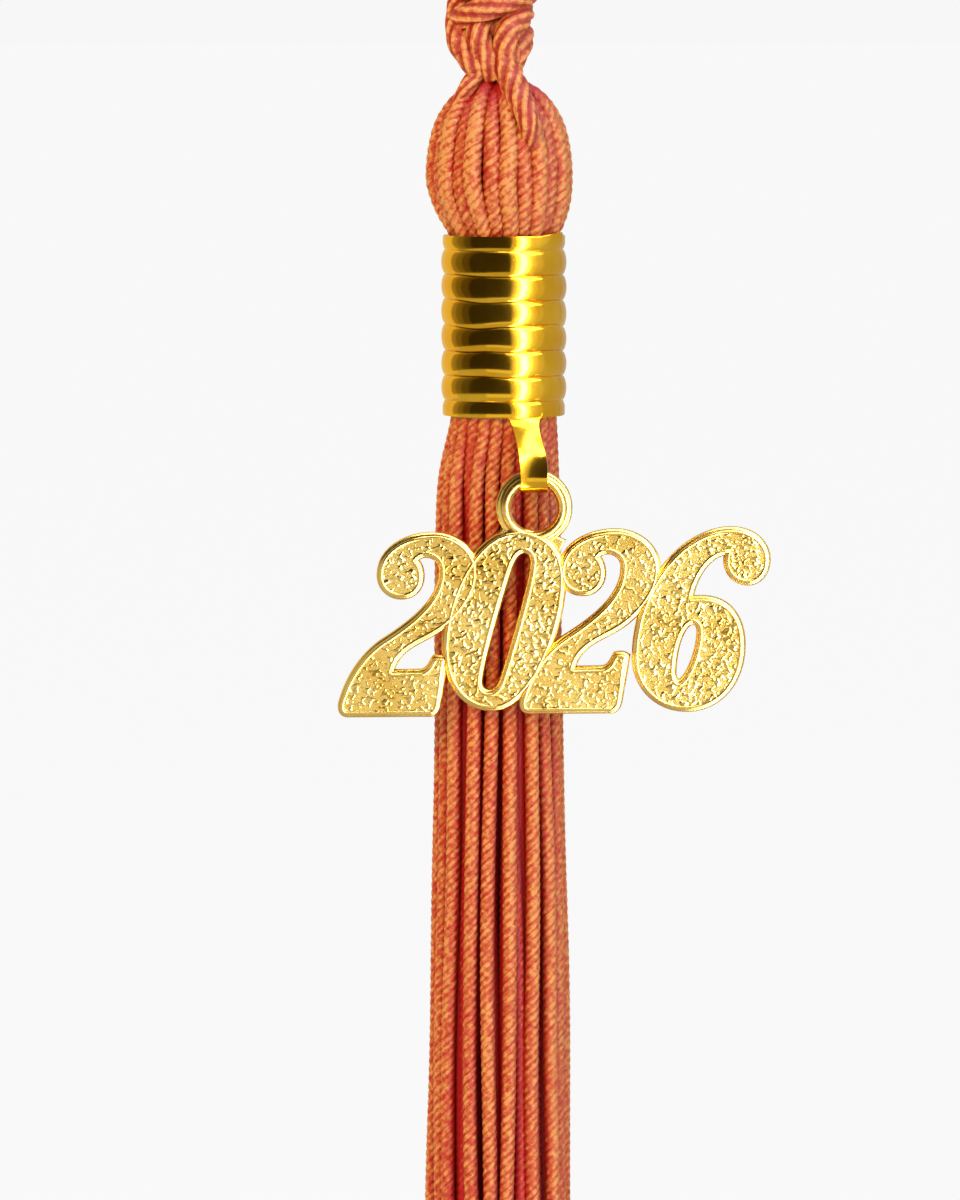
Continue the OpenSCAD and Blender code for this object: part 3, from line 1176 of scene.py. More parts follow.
@dataclass
class Barrel:
    """The barrel, rolled from ribbed sheet, with its hook tab."""

    levels: Levels
    hinge: Vector
    radius: float = 5.12 * MM
    length: float = 14.7 * MM
    wall: float = 0.35 * MM
    rib_depth: float = 0.3 * MM
    rib_count: int = 6
    rib_fullness: float = 0.6
    band_drop: float = 0.12 * MM
    foot: float = 1.25 * MM
    head: float = 1.15 * MM
    seam_angle: float = math.radians(65)
    seam_gap: float = 0.02 * MM
    tab_angle: float = math.radians(20.6)
    tab_width: float = 2.15 * MM
    tab_thickness: float = 0.38 * MM
    uneven: float = 0.03 * MM
    wave: float = 0.35 * MM
    corner_lift: float = 0.3 * MM
    corner_width: float = 0.6
    corner_height: float = 1.6 * MM
    tab_hollow: float = 0.12 * MM
    hook_radius: float = 1.34 * MM
    hook_tail: float = 1.3 * MM
    steps_round: int = 200
    steps_per_rib: int = 16
    steps_round_hook: int = 16

    def profile(self) -> list[tuple[float, float]]:
        """Find the sheet's outer profile, from the mouth up: radius and height."""
        pitch = (self.length - self.foot - self.head) / self.rib_count
        low = self.radius - self.rib_depth
        band = self.radius - self.band_drop
        edge = band - 0.05 * MM
        side = low + 0.08 * MM
        rows = [(edge, 0.0), (band, 0.12 * MM), (band, 0.75 * MM), (side, 1.1 * MM)]
        for k in range(self.rib_count * self.steps_per_rib + 1):
            share = k / self.steps_per_rib
            swell = abs(math.sin(math.pi * k / self.steps_per_rib)) ** self.rib_fullness
            rows.append((low + self.rib_depth * swell, self.foot + pitch * share))
        top = self.length
        rows += [(side, top - 1.0 * MM), (band, top - 0.7 * MM), (band, top - 0.12 * MM)]
        return [*rows, (edge, top)]

    def build_tube(self) -> bpy.types.Mesh:
        """Spin the profile round to the seam and give the sheet its thickness."""
        shape = bmesh.new()
        gap = self.seam_gap / self.radius
        start = self.seam_angle + gap / 2
        rows = [
            shape.verts.new((r * math.sin(start), -r * math.cos(start), self.levels.mouth + z))
            for r, z in self.profile()
        ]
        edges = [shape.edges.new(pair) for pair in zip(rows, rows[1:])]
        spin(shape, rows + edges, TURN - gap, self.steps_round)
        self.unsettle(shape)
        align_faces(shape)
        self.face_outwards(shape)
        bmesh.ops.solidify(shape, geom=shape.faces[:], thickness=self.wall)
        return to_mesh("barrel_tube", shape, SHEET_EDGE)

    def unsettle(self, shape: bmesh.types.BMesh) -> None:
        """Press the sheet a little unevenly, and lift its top corner beside the seam.

        Args:
            shape: the rolled sheet.
        """
        top = self.levels.mouth + self.length
        corner = self.seam_angle - self.corner_width
        for vert in shape.verts:
            out = Vector((vert.co.x, vert.co.y, 0)).normalized()
            azimuth = math.atan2(out.x, -out.y)
            vert.co += out * self.rolling(out, vert.co.z, 2.2, 0.5) * self.uneven
            near = float(smooth_step(corner, self.seam_angle, azimuth)) * (azimuth < self.seam_angle)
            near *= float(smooth_step(top - self.corner_height, top, vert.co.z))
            vert.co += out * near * self.corner_lift
            vert.co.z += near * self.corner_lift
            inner = 1 - abs(2 * (vert.co.z - self.levels.mouth) / self.length - 1)
            vert.co.z += self.rolling(out, vert.co.z, 1.4, 0.2, 9) * inner * self.wave

    @staticmethod
    def rolling(out: Vector, z: float, round_it: float, up_it: float, start: float = 0.0) -> float:
        """Find a smooth unevenness of the sheet.

        Args:
            out: the direction from the axis.
            z: the height.
            round_it: how often it changes round the barrel.
            up_it: how often it changes up the barrel, for each millimetre.
            start: where its pattern starts.

        Returns:
            A number from -1 to 1.
        """
        return noise.noise(Vector((out.x * round_it, out.y * round_it, z / MM * up_it + start)))

    @staticmethod
    def face_outwards(shape: bmesh.types.BMesh) -> None:
        """Turn the faces over if they look at the axis."""
        shape.faces.ensure_lookup_table()
        face = shape.faces[0]
        centre = face.calc_center_median()
        if face.normal.x * centre.x + face.normal.y * centre.y < 0:
            bmesh.ops.reverse_faces(shape, faces=shape.faces[:])

    def tab_rows(self) -> list[tuple[Vector, float, float]]:
        """Find the tab's centre line, its face's turn from the front, and its width."""
        band = self.radius - self.band_drop - self.tab_thickness / 2 - 0.02 * MM
        root = Vector((band * math.sin(self.tab_angle), -band * math.cos(self.tab_angle), 0))
        drop = self.levels.mouth - self.hinge.z
        front = Vector((self.hinge.x, self.hinge.y - self.hook_radius, 0))
        shares = [
            (-0.14, -0.03, 1.0, 1.5), (-0.05, 0.0, 1.0, 1.42), (0.0, 0.0, 1.0, 1.34),
            (0.04, 0.01, 1.0, 1.2), (0.09, 0.04, 1.0, 1.1), (0.16, 0.12, 0.95, 1.04),
            (0.25, 0.24, 0.85, 1.0), (0.36, 0.42, 0.7, 0.98), (0.5, 0.65, 0.45, 0.98),
            (0.64, 0.83, 0.25, 1.0), (0.8, 0.96, 0.1, 1.02),
        ]  # fmt: skip
        rows = []
        for fall, outward, turn, width in shares:
            centre = root.lerp(front, outward)
            centre.z = self.levels.mouth - drop * fall
            rows.append((centre, self.tab_angle * turn, self.tab_width * width))
        for k in range(self.steps_round_hook + 1):
            angle = math.pi * (1 + k / self.steps_round_hook)
            centre = self.hinge + Vector((0, math.cos(angle), math.sin(angle))) * self.hook_radius
            rows.append((centre, 0.0, self.tab_width))
        last = self.hinge + Vector((0, self.hook_radius, self.hook_tail))
        return [*rows, (last, 0.0, self.tab_width)]

    def build_tab(self) -> bpy.types.Mesh:
        """Draw the tab's middle surface down its centre line and thicken it both ways."""
        shape = bmesh.new()
        rows = self.tab_rows()
        strips = 6
        across = [-1 + 2 * k / strips for k in range(strips + 1)]

        def edge_points(row: tuple[Vector, float, float]) -> list[Vector]:
            """Give the points across one row."""
            centre, turn, width = row
            side = Vector((math.cos(turn), math.sin(turn), 0)) * width / 2
            back = Vector((-math.sin(turn), math.cos(turn), 0)) * self.tab_hollow
            return [centre + side * share + back * (1 - share * share) for share in across]

        line = [shape.verts.new(p) for p in edge_points(rows[0])]
        edges = [shape.edges.new(pair) for pair in zip(line, line[1:])]
        for row in rows[1:]:
            made = bmesh.ops.extrude_edge_only(shape, edges=edges)["geom"]
            edges = [g for g in made if isinstance(g, bmesh.types.BMEdge) and g.is_boundary]
            line = [g for g in made if isinstance(g, bmesh.types.BMVert)]
            edges = [e for e in edges if all(v in line for v in e.verts)]
            for vert, point in zip(line, edge_points(row), strict=True):
                vert.co = point
        align_faces(shape)
        bmesh.ops.solidify(shape, geom=shape.faces[:], thickness=self.tab_thickness / 2)
        return to_mesh("hook_tab", shape, SHEET_EDGE)

    def build(self) -> None:
        """Build the tube and the tab as one piece of sheet."""
        finish = BARREL_GOLD.material()
        tube = new_object("barrel_tube", self.build_tube(), finish)
        tab = new_object("hook_tab", self.build_tab(), finish)
        barrel = joined("barrel_sheet", [tube, tab])
        attach(barrel, Body.BARREL, Slot.BARREL, "barrel")
        LOG.info("barrel: %d ribs and the hook tab", self.rib_count)


# ---- Charm ---------------------------------------------------------------------------

Handle = tuple[float, float]
Row = tuple[Handle, ...]


class Numeral(Enum):
    """Outlines of the numerals, in millimetres from the first one's foot.

    Each row is an anchor with the two handles to the next anchor, or an anchor alone
    where a straight edge follows.
    """

    TWO = (
        ((3.15, 11.2), (3.15, 13.1), (5.1, 14.3)), ((7.4, 14.3), (9.2, 14.3), (10.7, 13.1)),
        ((10.7, 11.4), (10.7, 10), (9.8, 8.7)), ((8.8, 7.75), (7, 5.9), (4.4, 6)),
        ((3.75, 3.3),), ((4, 3.1),), ((6.3, 3.15), (7.1, 3.2), (7.3, 3.9)),
        ((7.55, 4.3), (7.75, 4.35), (8.05, 4.35)), ((8.2, 4.25),),
        ((7.6, 0.7), (7.5, 0.2), (7.3, 0.05)), ((7, 0.05),), ((0.4, 0), (0.05, 0), (-0.05, 0.3)),
        ((0, 0.7), (0.6, 2.9), (1.8, 4.5)), ((3.2, 5.55), (5.6, 7.1), (8.1, 8.9)),
        ((8.2, 11.4), (8.25, 12.4), (7.6, 13)), ((6.7, 13), (6.3, 13), (6, 12.8)),
        ((5.7, 12.4), (6.1, 12.05), (6.25, 11.6)), ((6.25, 11.1), (6.25, 10.2), (5.6, 9.6)),
        ((4.75, 9.6), (3.85, 9.6), (3.15, 10.3)),
    )  # fmt: skip
    ZERO = (
        ((14.2, 14.6), (16.4, 14.6), (17.75, 13.1)), ((17.75, 10.9), (17.75, 6.9), (15.2, 0.5)),
        ((12.15, 0.5), (9.9, 0.5), (8.45, 2.6)), ((8.45, 5.3), (8.45, 9.2), (10.9, 14.6)),
    )  # fmt: skip
    ZERO_SLOT = (
        ((14.7, 13.35), (15.25, 13.35), (15.65, 12.8)), ((15.6, 12.2), (15.5, 10.6), (14, 5.4)),
        ((13.1, 2.6), (12.8, 1.8), (12.4, 1.5)), ((11.9, 1.5), (11.3, 1.5), (10.95, 2)),
        ((11, 2.7), (11.1, 4.1), (12.6, 9.4)), ((13.4, 11.8), (13.7, 12.8), (14.2, 13.35)),
    )  # fmt: skip
    SIX = (
        ((23.85, 4.5), (23.85, 7.4), (24.9, 10.1)), ((26.4, 11.95), (27.9, 13.8), (29.8, 14.75)),
        ((31.5, 14.75), (33.1, 14.75), (34.3, 13.8)), ((34.3, 12.5), (34.3, 11.5), (33.7, 10.75)),
        ((32.9, 10.75), (31.9, 10.75), (31.25, 11.5)), ((31.25, 12.4), (31.25, 12.7), (31.3, 12.95)),
        ((31.4, 13.2), (29.8, 13.4), (28.3, 11.3)), ((28, 9.05), (28.4, 9.15), (28.9, 9.15)),
        ((29.3, 9.15), (31.2, 9.1), (32.3, 7.7)), ((32.3, 5.5), (32.3, 2.5), (30.4, 0.45)),
        ((27.9, 0.45), (25.5, 0.45), (23.85, 2.3)),
    )  # fmt: skip
    SIX_SLOT = (
        ((28.4, 7.55), (28.9, 7.55), (29.15, 7)), ((29.1, 6.4), (29, 4.6), (28, 2.3)),
        ((27.3, 2.3), (26.8, 2.3), (26.65, 2.9)), ((26.7, 3.7), (26.8, 5.6), (27.5, 7.55)),
    )  # fmt: skip

    def points(self, steps: int = 12, move: tuple[float, float] = (0.0, 0.0)) -> np.ndarray:
        """Trace the outline.

        Args:
            steps: points on each curved stretch.
            move: where the numeral is moved to, in millimetres.

        Returns:
            Its points, in metres.
        """
        rows = self.value
        traced = []
        for row, following in zip(rows, rows[1:] + rows[:1]):
            if len(row) == 1:
                traced.append(row[0])
                continue
            a, b, c = (np.array(p) for p in row)
            d = np.array(following[0])
            for t in np.arange(steps) / steps:
                s = 1 - t
                traced.append(s**3 * a + 3 * s * s * t * b + 3 * s * t * t * c + t**3 * d)
        return (np.array(traced, float) + move) * MM


def inside(outline: np.ndarray, x: np.ndarray, y: np.ndarray) -> np.ndarray:
    """Tell which points lie inside a closed outline."""
    held = np.zeros(len(x), bool)
    for (ax, ay), (bx, by) in zip(outline, np.roll(outline, -1, axis=0)):
        if ay == by:
            continue
        crosses = (ay > y) != (by > y)
        held ^= crosses & (x < (bx - ax) * (y - ay) / (by - ay) + ax)
    return held


@dataclass
class YearCharm:
    """The year charm, cast in one: a stepped plate, raised rims, a hammered field and the ring."""

    hinge: Vector
    plate_thickness: float = 1.2 * MM
    plate_edge: float = 0.3 * MM
    plate_lip: float = 0.4 * MM
    body_height: float = 0.22 * MM
    body_edge: float = 0.08 * MM
    body_lip: float = 0.12 * MM
    numeral_step: float = 0.02 * MM
    rim_radius: float = 0.14 * MM
    rim_height: float = 0.36 * MM
    rim_sides: int = 10
    field_height: float = 0.2 * MM
    field_thickness: float = 0.2 * MM
    field_relief: float = 0.26 * MM
    field_pitch: float = 0.09 * MM
    stroke_stretch: float = 0.62
    bend: tuple[float, float] = (2.8, 0.3)
    coarse_dents: tuple[float, float] = (4.0, 0.75)
    fine_dents: tuple[float, float] = (7.5, 0.4)
    ring_radius: float = 2.5 * MM
    ring_width: float = 1.2 * MM
    bead_radius: float = 0.36 * MM
    ring_place: tuple[float, float] = (15.53, 16.68)
    second_two: tuple[float, float] = (14.72, 0.28)
    seed: int = 26

    def frame_matrix(self) -> Matrix:
        """Find the matrix that stands the charm up: its x along +X, its y up and its front to -Y."""
        x, y, z = self.hinge
        across, up = (shift * MM for shift in self.ring_place)
        foot = Vector((x - across, y + self.plate_thickness / 2, z - self.ring_radius - up))
        return Matrix.Translation(foot) @ Matrix.Rotation(math.pi / 2, 4, "X")

    def numerals(self) -> list[list[np.ndarray]]:
        """Give each numeral's outline, with its slot where it has one."""
        return [
            [Numeral.TWO.points()],
            [Numeral.ZERO.points(), Numeral.ZERO_SLOT.points()],
            [Numeral.TWO.points(move=self.second_two)],
            [Numeral.SIX.points(), Numeral.SIX_SLOT.points()],
        ]

    def flat(
        self, name: str, outlines: list[np.ndarray], low: float, high: float, edge: float, grow: float
    ) -> bpy.types.Mesh:
        """Make a flat plate with rounded edges from outlines.

        Args:
            name: the mesh's name.
            outlines: the outer outline and any slots in it.
            low: height of its back.
            high: height of its front.
            edge: radius of its rounded edges.
            grow: how far it stands out beyond the outline.

        Returns:
            The mesh, still lying flat.
        """
        curve = bpy.data.curves.new(name, "CURVE")
        curve.dimensions = "2D"
        curve.fill_mode = "BOTH"
        curve.extrude = (high - low) / 2 - edge
        curve.bevel_depth = edge
        curve.bevel_resolution = 3
        curve.offset = grow - edge
        for outline in outlines:
            spline = curve.splines.new("POLY")
            spline.points.add(len(outline) - 1)
            flat = np.column_stack([outline, np.zeros(len(outline)), np.ones(len(outline))])
            spline.points.foreach_set("co", flat.ravel())
            spline.use_cyclic_u = True
        held = in_scene(name, curve)
        bpy.context.view_layer.update()
        mesh = bpy.data.meshes.new_from_object(held.evaluated_get(bpy.context.evaluated_depsgraph_get()))
        bpy.data.objects.remove(held)
        bpy.data.curves.remove(curve)
        mesh.transform(Matrix.Translation((0, 0, (high + low) / 2)))
        return mesh

    def rim(self, outline: np.ndarray, height: float) -> bpy.types.Mesh:
        """Make one raised round rim along an outline, still lying flat.

        Args:
            outline: the closed outline.
            height: height of the rim's middle.

        Returns:
            The mesh.
        """
        shape = bmesh.new()
        centre = np.column_stack([outline, np.full(len(outline), height)])
        ahead = np.roll(centre, -1, axis=0) - np.roll(centre, 1, axis=0)
        ahead /= np.linalg.norm(ahead, axis=1)[:, None]
        across = np.cross(ahead, [0, 0, 1.0])
        first = bmesh.ops.create_circle(shape, segments=self.rim_sides, radius=1.0)["verts"]
        angles = [math.atan2(v.co.y, v.co.x) for v in first]
        rings = [first]
        for _ in centre[1:]:
            edges = {e for v in rings[-1] for e in v.link_edges if e.other_vert(v) in rings[-1]}
            made = bmesh.ops.extrude_edge_only(shape, edges=list(edges))["geom"]
            fresh = {v for v in made if isinstance(v, bmesh.types.BMVert)}
            rings.append(
                [next(e.other_vert(v) for e in v.link_edges if e.other_vert(v) in fresh) for v in rings[-1]]
            )
        for ring, point, side in zip(rings, centre, across):
            for vert, angle in zip(ring, angles):
                out = Vector(side) * math.cos(angle) + Vector((0, 0, 1)) * math.sin(angle)
                vert.co = Vector(point) + self.rim_radius * out
        ends = [
            e
            for ring in (rings[0], rings[-1])
            for v in ring
            for e in v.link_edges
            if e.is_boundary and e.other_vert(v) in ring
        ]
        bmesh.ops.bridge_loops(shape, edges=list(set(ends)))
        align_faces(shape)
        return to_mesh("rim", shape)

    def field(self) -> bpy.types.Mesh:
        """Make the hammered field inside the rims, still lying flat."""
        noise.seed_set(self.seed)
        outlines = [group[0] for group in self.numerals()]
        slots = [slot for group in self.numerals() for slot in group[1:]]
        low = np.min([o.min(axis=0) for o in outlines], axis=0)
        high = np.max([o.max(axis=0) for o in outlines], axis=0)
        size = high - low
        shape = bmesh.new()
        columns, rows = (int(side / self.field_pitch) + 1 for side in size)
        bmesh.ops.create_grid(shape, x_segments=columns, y_segments=rows, size=0.5)
        for vert in shape.verts:
            vert.co.x = low[0] + (vert.co.x + 0.5) * size[0]
            vert.co.y = low[1] + (vert.co.y + 0.5) * size[1]
        middles = np.array([f.calc_center_median().to_2d() for f in shape.faces])
        keep = np.zeros(len(middles), bool)
        for outline in outlines:
            keep |= inside(outline, *middles.T)
        for slot in slots:
            keep &= ~inside(slot, *middles.T)
        waste = [f for f, held in zip(shape.faces[:], keep) if not held]
        bmesh.ops.delete(shape, geom=waste, context="FACES")
        level = self.plate_thickness + self.field_height
        for vert in shape.verts:
            vert.co.z = level + self.hammered(vert.co)
        bmesh.ops.solidify(shape, geom=shape.faces[:], thickness=self.field_thickness)
        align_faces(shape)
        mesh = to_mesh("hammered_field", shape)
        # Mask of the dents' hollows, where the gold paints shade.
        depth = (level - coordinates(mesh)[:, 2]) / self.field_relief
        set_attribute(mesh, "pit_shade_mask", smooth_step(0.1, 0.4, depth))
        return mesh

    def hammered(self, place: Vector) -> float:
        """Find the hammered field's relief: coarse and fine dents, bent and drawn out along x.

        Args:
            place: the place on the field.

        Returns:
            How far it stands out there. Each kind of dent has its scale and its share.
        """
        spot = Vector((place.x * self.stroke_stretch, place.y, 0)) / MM
        scale, share = self.bend
        bent = spot + noise.noise_vector(spot * scale) * share
        scale, share = self.coarse_dents
        relief = noise.noise(bent * scale) * share
        scale, share = self.fine_dents
        relief += noise.noise(bent * scale + Vector((7, 3, 1))) * share
        return self.field_relief * relief

    def ring(self) -> bpy.types.Mesh:
        """Spin the ring's stepped section round its own axis, still lying flat."""
        shape = bmesh.new()
        inner = self.ring_radius - self.ring_width / 2
        outer = self.ring_radius + self.ring_width / 2
        top = self.plate_thickness
        bead = inner + self.bead_radius + 0.06 * MM
        edge = 0.22 * MM
        rows = [(inner, edge), (inner, top - edge)]
        rows += [
            (bead - self.bead_radius * math.cos(a), top - edge + self.bead_radius * 1.25 * math.sin(a))
            for a in (math.pi * k / 8 for k in range(1, 8))
        ]
        rows += [
            (bead + self.bead_radius, top - edge), (outer - edge, top - 0.14 * MM),
            (outer - edge * 0.4, top - edge * 0.9), (outer, top - edge * 1.8), (outer, edge),
            (outer - edge, 0.0), (inner + edge, 0.0),
        ]  # fmt: skip
        verts = [shape.verts.new((r, 0.0, z)) for r, z in rows]
        edges = [shape.edges.new(pair) for pair in zip(verts, verts[1:] + verts[:1])]
        spin(shape, verts + edges, TURN, 96, merge=True)
        bmesh.ops.remove_doubles(shape, verts=shape.verts[:], dist=0.002 * MM)
        align_faces(shape)
        mesh = to_mesh("charm_ring", shape)
        mesh.transform(Matrix.Translation((self.ring_place[0] * MM, self.ring_place[1] * MM, 0)))
        return mesh

    def web(self) -> bpy.types.Mesh:
        """Make the web between the ring and the numerals, still lying flat."""
        corners = [(12.7, 14.3), (13.1, 15.4), (14.6, 14.9), (16.8, 14.5), (18.0, 14.0), (17.3, 12.6)]
        top = self.plate_thickness - 0.3 * MM
        return self.flat("web", [np.array(corners) * MM], 0.05 * MM, top, edge=0.2 * MM, grow=0.1 * MM)

    def build(self) -> None:
        """Build every step of the casting and join them."""
        plate_gold, rim_gold, field_gold = (
            finish.material() for finish in (PLATE_GOLD, RIM_GOLD, FIELD_GOLD)
        )
        stand = self.frame_matrix()
        meshes: list[tuple[bpy.types.Mesh, bpy.types.Material]] = []
        top = self.plate_thickness
        for order, outlines in enumerate(self.numerals()):
            sink = self.numeral_step * (order % 2)
            plate = self.flat("plate", outlines, sink, top - sink, self.plate_edge, self.plate_lip)
            height = top + self.body_height - sink
            body = self.flat("body", outlines, top / 2, height, self.body_edge, self.body_lip)
            meshes += [(plate, plate_gold), (body, plate_gold)]
            for outline in outlines:
                meshes.append((self.rim(outline, top + self.rim_height - self.rim_radius), rim_gold))
        meshes += [(self.web(), plate_gold), (self.ring(), plate_gold), (self.field(), field_gold)]
        pieces = []
        for mesh, finish in meshes:
            mesh.transform(stand)
            mesh.polygons.foreach_set("use_smooth", [True] * len(mesh.polygons))
            pieces.append(new_object("casting", mesh, finish))
        charm = joined("year_charm_casting", pieces)
        attach(charm, Body.CHARM, Slot.CHARM, "year_charm")
        LOG.info("charm: %d cast steps", len(meshes))


# ---- Inner pieces --------------------------------------------------------------------


@dataclass
class InnerPieces:
    """The pieces inside: the binding, the folded middle and the cord's tails."""

    levels: Levels
    binding_radius: float = 4.12 * MM
    binding_thread: float = 0.4 * MM
    binding_lead: float = 1.2 * MM
    binding_end: float = 0.25 * MM
    # The binding counts as part way in, for its painted shade.
    binding_shade: float = 0.6
    steps_round: int = 16
    core_lead: float = 12 * MM

    def build(self) -> None:
        """Wind the binding thread, and build the two cores."""
        finish = THREAD.material()
        self.build_binding(finish)
        self.build_core("thread_fold", Slot.THREAD, finish, (0.72, 1.0, 1.0))
        self.build_core("hanger_tail", Slot.CORD, CORD.material(), (1.0, 1.0))

    def build_binding(self, finish: bpy.types.Material) -> None:
        """Wind the binding thread round the bundle inside the barrel."""
        low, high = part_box("binding_thread")
        turns = int((high.z - low.z) / self.binding_thread) - 1
        count = turns * self.steps_round
        z = np.linspace(high.z - self.binding_end, low.z + self.binding_end, count)
        azimuth = TURN * np.arange(count) / self.steps_round
        cord = TwistedCord(self.binding_thread, 2, self.binding_lead, points_per_ply=3, steps_per_lead=6)
        mesh = cord.laid("binding", Route(around(self.binding_radius, azimuth, z), fine=2))
        set_attribute(mesh, "depth", self.binding_shade)
        attach(new_object("binding_winding", mesh, finish), Body.TASSEL, Slot.THREAD, "binding_thread")
        LOG.info("binding: %d turns", turns)

    def build_core(
        self, node: str, slot: Slot, finish: bpy.types.Material, widths: tuple[float, ...]
    ) -> None:
        """Twist one upright core in the place of a node, from its top down.

        Args:
            node: the node.
            slot: its material slot.
            finish: its material.
            widths: shares of the node's width, spread evenly from the top.
        """
        low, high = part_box(node)
        width = high.x - low.x
        cord = TwistedCord(width, 6, self.core_lead, points_per_ply=5, steps_per_lead=72, relief=0.5)
        mesh = cord.laid(node, Route([(0, 0, high.z), (0, 0, low.z)], fine=40), widths=widths)
        # The cores count as deepest in the bundle, so they are painted in the deepest shade.
        set_attribute(mesh, "depth", 0.0)
        attach(new_object(f"{node}_core", mesh, finish), Body.TASSEL, slot, node)
        LOG.info("core in the place of %s", node)


# ---- Studio --------------------------------------------------------------------------


WHITE = (1.0, 1.0, 1.0)
HAZE = (1.0, 0.85, 0.55)
AMBER = (1.0, 0.85, 0.4)
DEGREES_PER_STEP = 6


@dataclass(frozen=True)
class Screen:
    """A glowing screen bent round the tassel, which the metal reflects.

    Its azimuths are in degrees to the right of the front, and its heights are measured
    from the barrel's mouth.
    """

    name: str
    radius: float
    start: float
    end: float
    low: float
    high: float
    glow: Colour
    strength: float

    def build(self, mouth: float) -> None:
        """Bend the screen, from one upright edge round to the other.

        Args:
            mouth: height of the barrel's mouth.
        """
        shape = bmesh.new()
        start, end = math.radians(self.start), math.radians(self.end)
        x, y = self.radius * math.sin(start), -self.radius * math.cos(start)
        foot, top = (shape.verts.new((x, y, mouth + z)) for z in (self.low, self.high))
        steps = max(2, round(abs(self.end - self.start) / DEGREES_PER_STEP))
        spin(shape, [foot, top, shape.edges.new((foot, top))], end - start, steps)
        stand(shape, StudioFinish(self.name, self.glow, self.strength))


def stand(shape: bmesh.types.BMesh, finish: StudioFinish) -> None:
    """Stand a screen in the studio, to show only in reflections.

    Args:
        shape: the screen.
        finish: its surface, which also names it.
    """
    screen = new_object(finish.name, to_mesh(finish.name, shape), finish.material())
    screen.visible_camera = False
    screen.visible_diffuse = False
    screen.visible_shadow = False


SCREENS = (
    *(
        Screen("dark_screen", 0.03, start, end, -6 * MM, 65 * MM, HAZE, strength)
        for start, end, strength in (
            (-106, -92, 0.34), (-92, -78, 0.2), (-78, -62, 0.1), (-62, 13.5, 0.035),
        )
    ),
    Screen("low_screen", 0.16, -35, 19, -0.1, -0.015, WHITE, 0.9),
    Screen("warm_screen", 0.1, -178, -100, -0.05, 0.1, AMBER, 0.85),
    Screen("top_screen", 0.15, 34, 80, 0.09, 0.6, WHITE, 9.0),
    *(
        Screen("white_strip", 0.15, start, end, -0.5, 0.6, WHITE, strength)
        for start, end, strength in (
            (17, 22, 0.7), (22, 27, 1.3), (27, 31, 4.0), (31, 42, 26.0),
            (42, 47, 4.0), (47, 54, 1.3), (54, 64, 0.9), (64, 78, 0.72),
        )
    ),
)  # fmt: skip


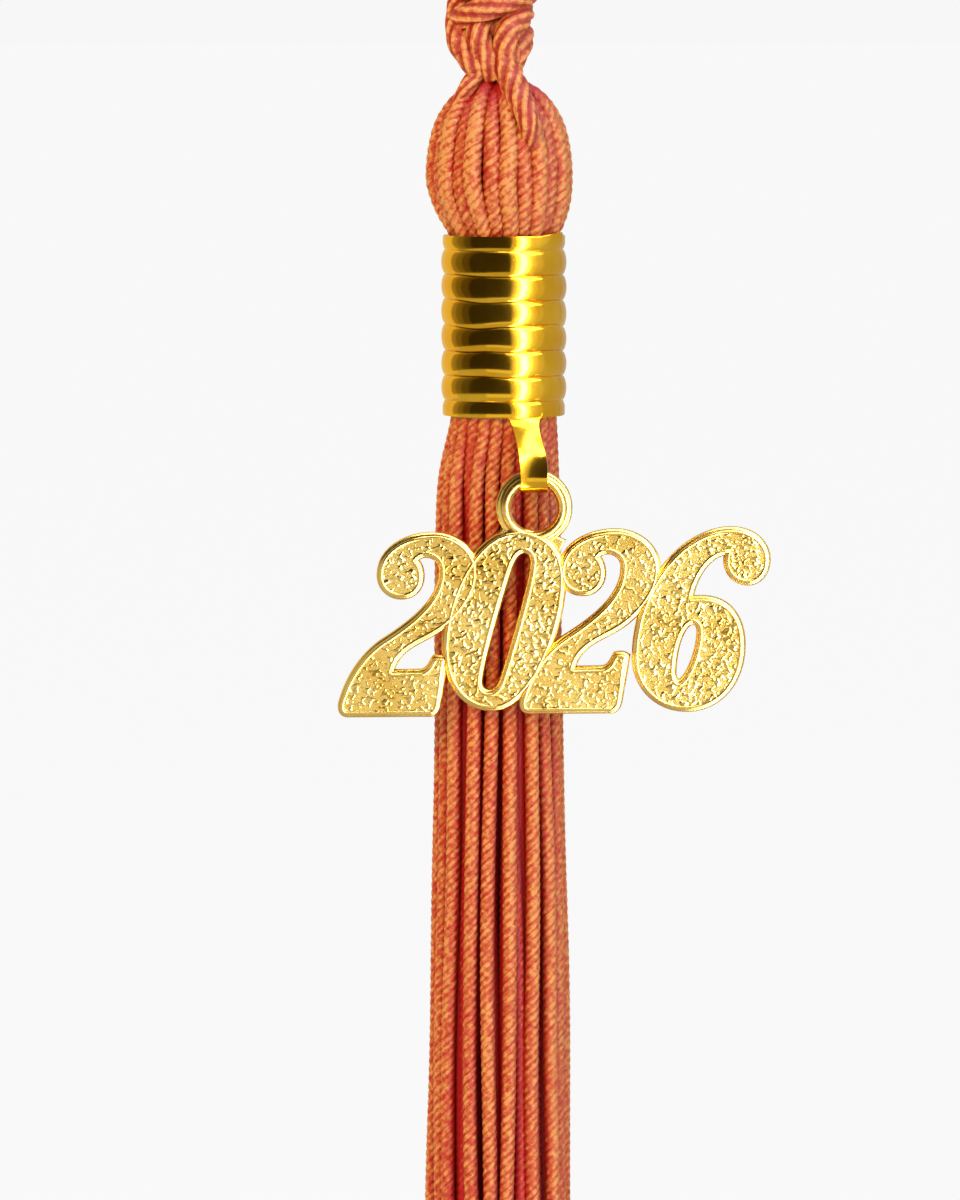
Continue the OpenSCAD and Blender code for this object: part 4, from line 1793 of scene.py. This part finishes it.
@dataclass
class Studio:
    """A pale floor, one soft light, the metal's screens, and a long lens in front of the tassel."""

    levels: Levels
    lens: float = 200.0
    sensor: float = 36.0
    view_height: float = 97.6 * MM
    elevation: float = math.radians(5)
    target_x: float = -1.95 * MM
    target_y: float = -5 * MM
    target_below_mouth: float = 14.8 * MM
    floor_drop: float = 60 * MM
    floor_radius: float = 60.0
    sky_radius: float = 0.16
    sky_height: float = 0.5
    sky_strength: float = 9.0
    key_place: Point = (-0.25, -0.6, 0.2)
    key_size: float = 0.4
    key_power: float = 2.95
    surroundings: float = 0.75
    reflected: float = 0.55
    backdrop: float = 0.93

    def build(self) -> None:
        """Build the camera, the floor and the lights."""
        bpy.context.scene.view_settings.view_transform = "Standard"
        self.build_camera()
        self.build_floor()
        self.build_world()
        self.build_key_light()
        for screen in SCREENS:
            screen.build(self.levels.mouth)
        self.build_sky()
        LOG.info("studio: camera, floor, light and %d screens", len(SCREENS) + 1)

    def build_camera(self) -> None:
        """Aim the camera at the charm from the front, a little above."""
        data = bpy.data.cameras.new("camera")
        data.lens = self.lens
        data.sensor_width = self.sensor
        data.clip_start = 0.01
        camera = in_scene("camera", data)
        target = Vector((self.target_x, self.target_y, self.levels.mouth - self.target_below_mouth))
        distance = self.view_height * self.lens / self.sensor
        back = Vector((0, -math.cos(self.elevation), math.sin(self.elevation)))
        camera.location = target + back * distance
        camera.rotation_euler = (math.pi / 2 - self.elevation, 0, 0)
        bpy.context.scene.camera = camera

    @staticmethod
    def disc(radius: float, height: float, sides: int) -> bmesh.types.BMesh:
        """Draw a level disc round the axis.

        Args:
            radius: its radius.
            height: its height.
            sides: how many sides its edge has.

        Returns:
            The disc.
        """
        shape = bmesh.new()
        bmesh.ops.create_circle(shape, cap_ends=True, segments=sides, radius=radius)
        bmesh.ops.translate(shape, vec=(0, 0, height), verts=shape.verts[:])
        return shape

    def build_floor(self) -> None:
        """Lay the wide pale floor below the thread ends."""
        shape = self.disc(self.floor_radius, self.levels.end - self.floor_drop, sides=64)
        finish = StudioFinish("pale_floor", (0.79, 0.79, 0.79), 1.0, colour=(0.2, 0.2, 0.2))
        floor = new_object("floor", to_mesh("floor", shape), finish.material())
        floor.visible_glossy = False

    def build_sky(self) -> None:
        """Hang a glowing disc over the tassel for the metal's upper edges."""
        shape = self.disc(self.sky_radius, self.levels.mouth + self.sky_height, sides=48)
        stand(shape, StudioFinish("sky_screen", WHITE, self.sky_strength))

    def build_world(self) -> None:
        """Make the surroundings pale to the camera, softer to the threads and greyer to the metal."""
        world = bpy.data.worlds.new("studio")
        world.use_nodes = True
        tree = world.node_tree
        rays = tree.nodes.new("ShaderNodeLightPath")
        strength: float | bpy.types.NodeSocket = self.surroundings
        for kind, other in (("Is Glossy Ray", self.reflected), ("Is Camera Ray", self.backdrop)):
            mix = tree.nodes.new("ShaderNodeMix")
            tree.links.new(rays.outputs[kind], mix.inputs["Factor"])
            if isinstance(strength, float):
                mix.inputs[2].default_value = strength
            else:
                tree.links.new(strength, mix.inputs[2])
            mix.inputs[3].default_value = other
            strength = mix.outputs[0]
        background = tree.nodes["Background"]
        background.inputs["Color"].default_value = (1, 1, 1, 1)
        tree.links.new(strength, background.inputs["Strength"])
        bpy.context.scene.world = world

    def build_key_light(self) -> None:
        """Hang one square light, soft on the threads, that points at the barrel."""
        data = bpy.data.lights.new("key_light", "AREA")
        data.size = self.key_size
        data.energy = self.key_power
        light = in_scene("key_light", data)
        light.visible_glossy = False
        light.location = self.key_place
        aim = Vector((0, 0, self.levels.mouth)) - Vector(self.key_place)
        light.rotation_euler = aim.to_track_quat("-Z", "Y").to_euler()


def main() -> None:
    """Build the tassel round the frame, sub-assembly by sub-assembly."""
    logging.basicConfig(level=logging.INFO, format="%(message)s")
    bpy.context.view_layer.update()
    hinge = Vector(next(j["pos_m"] for j in frame["joints"] if j["name"] == "charm_swing"))
    levels = Levels.from_frame(Barrel.length)
    Studio(levels).build()
    HangingCord(levels).build()
    ThreadBundle(levels).build()
    Barrel(levels, hinge).build()
    YearCharm(hinge).build()
    InnerPieces(levels).build()


if __name__ == "__main__":
    main()
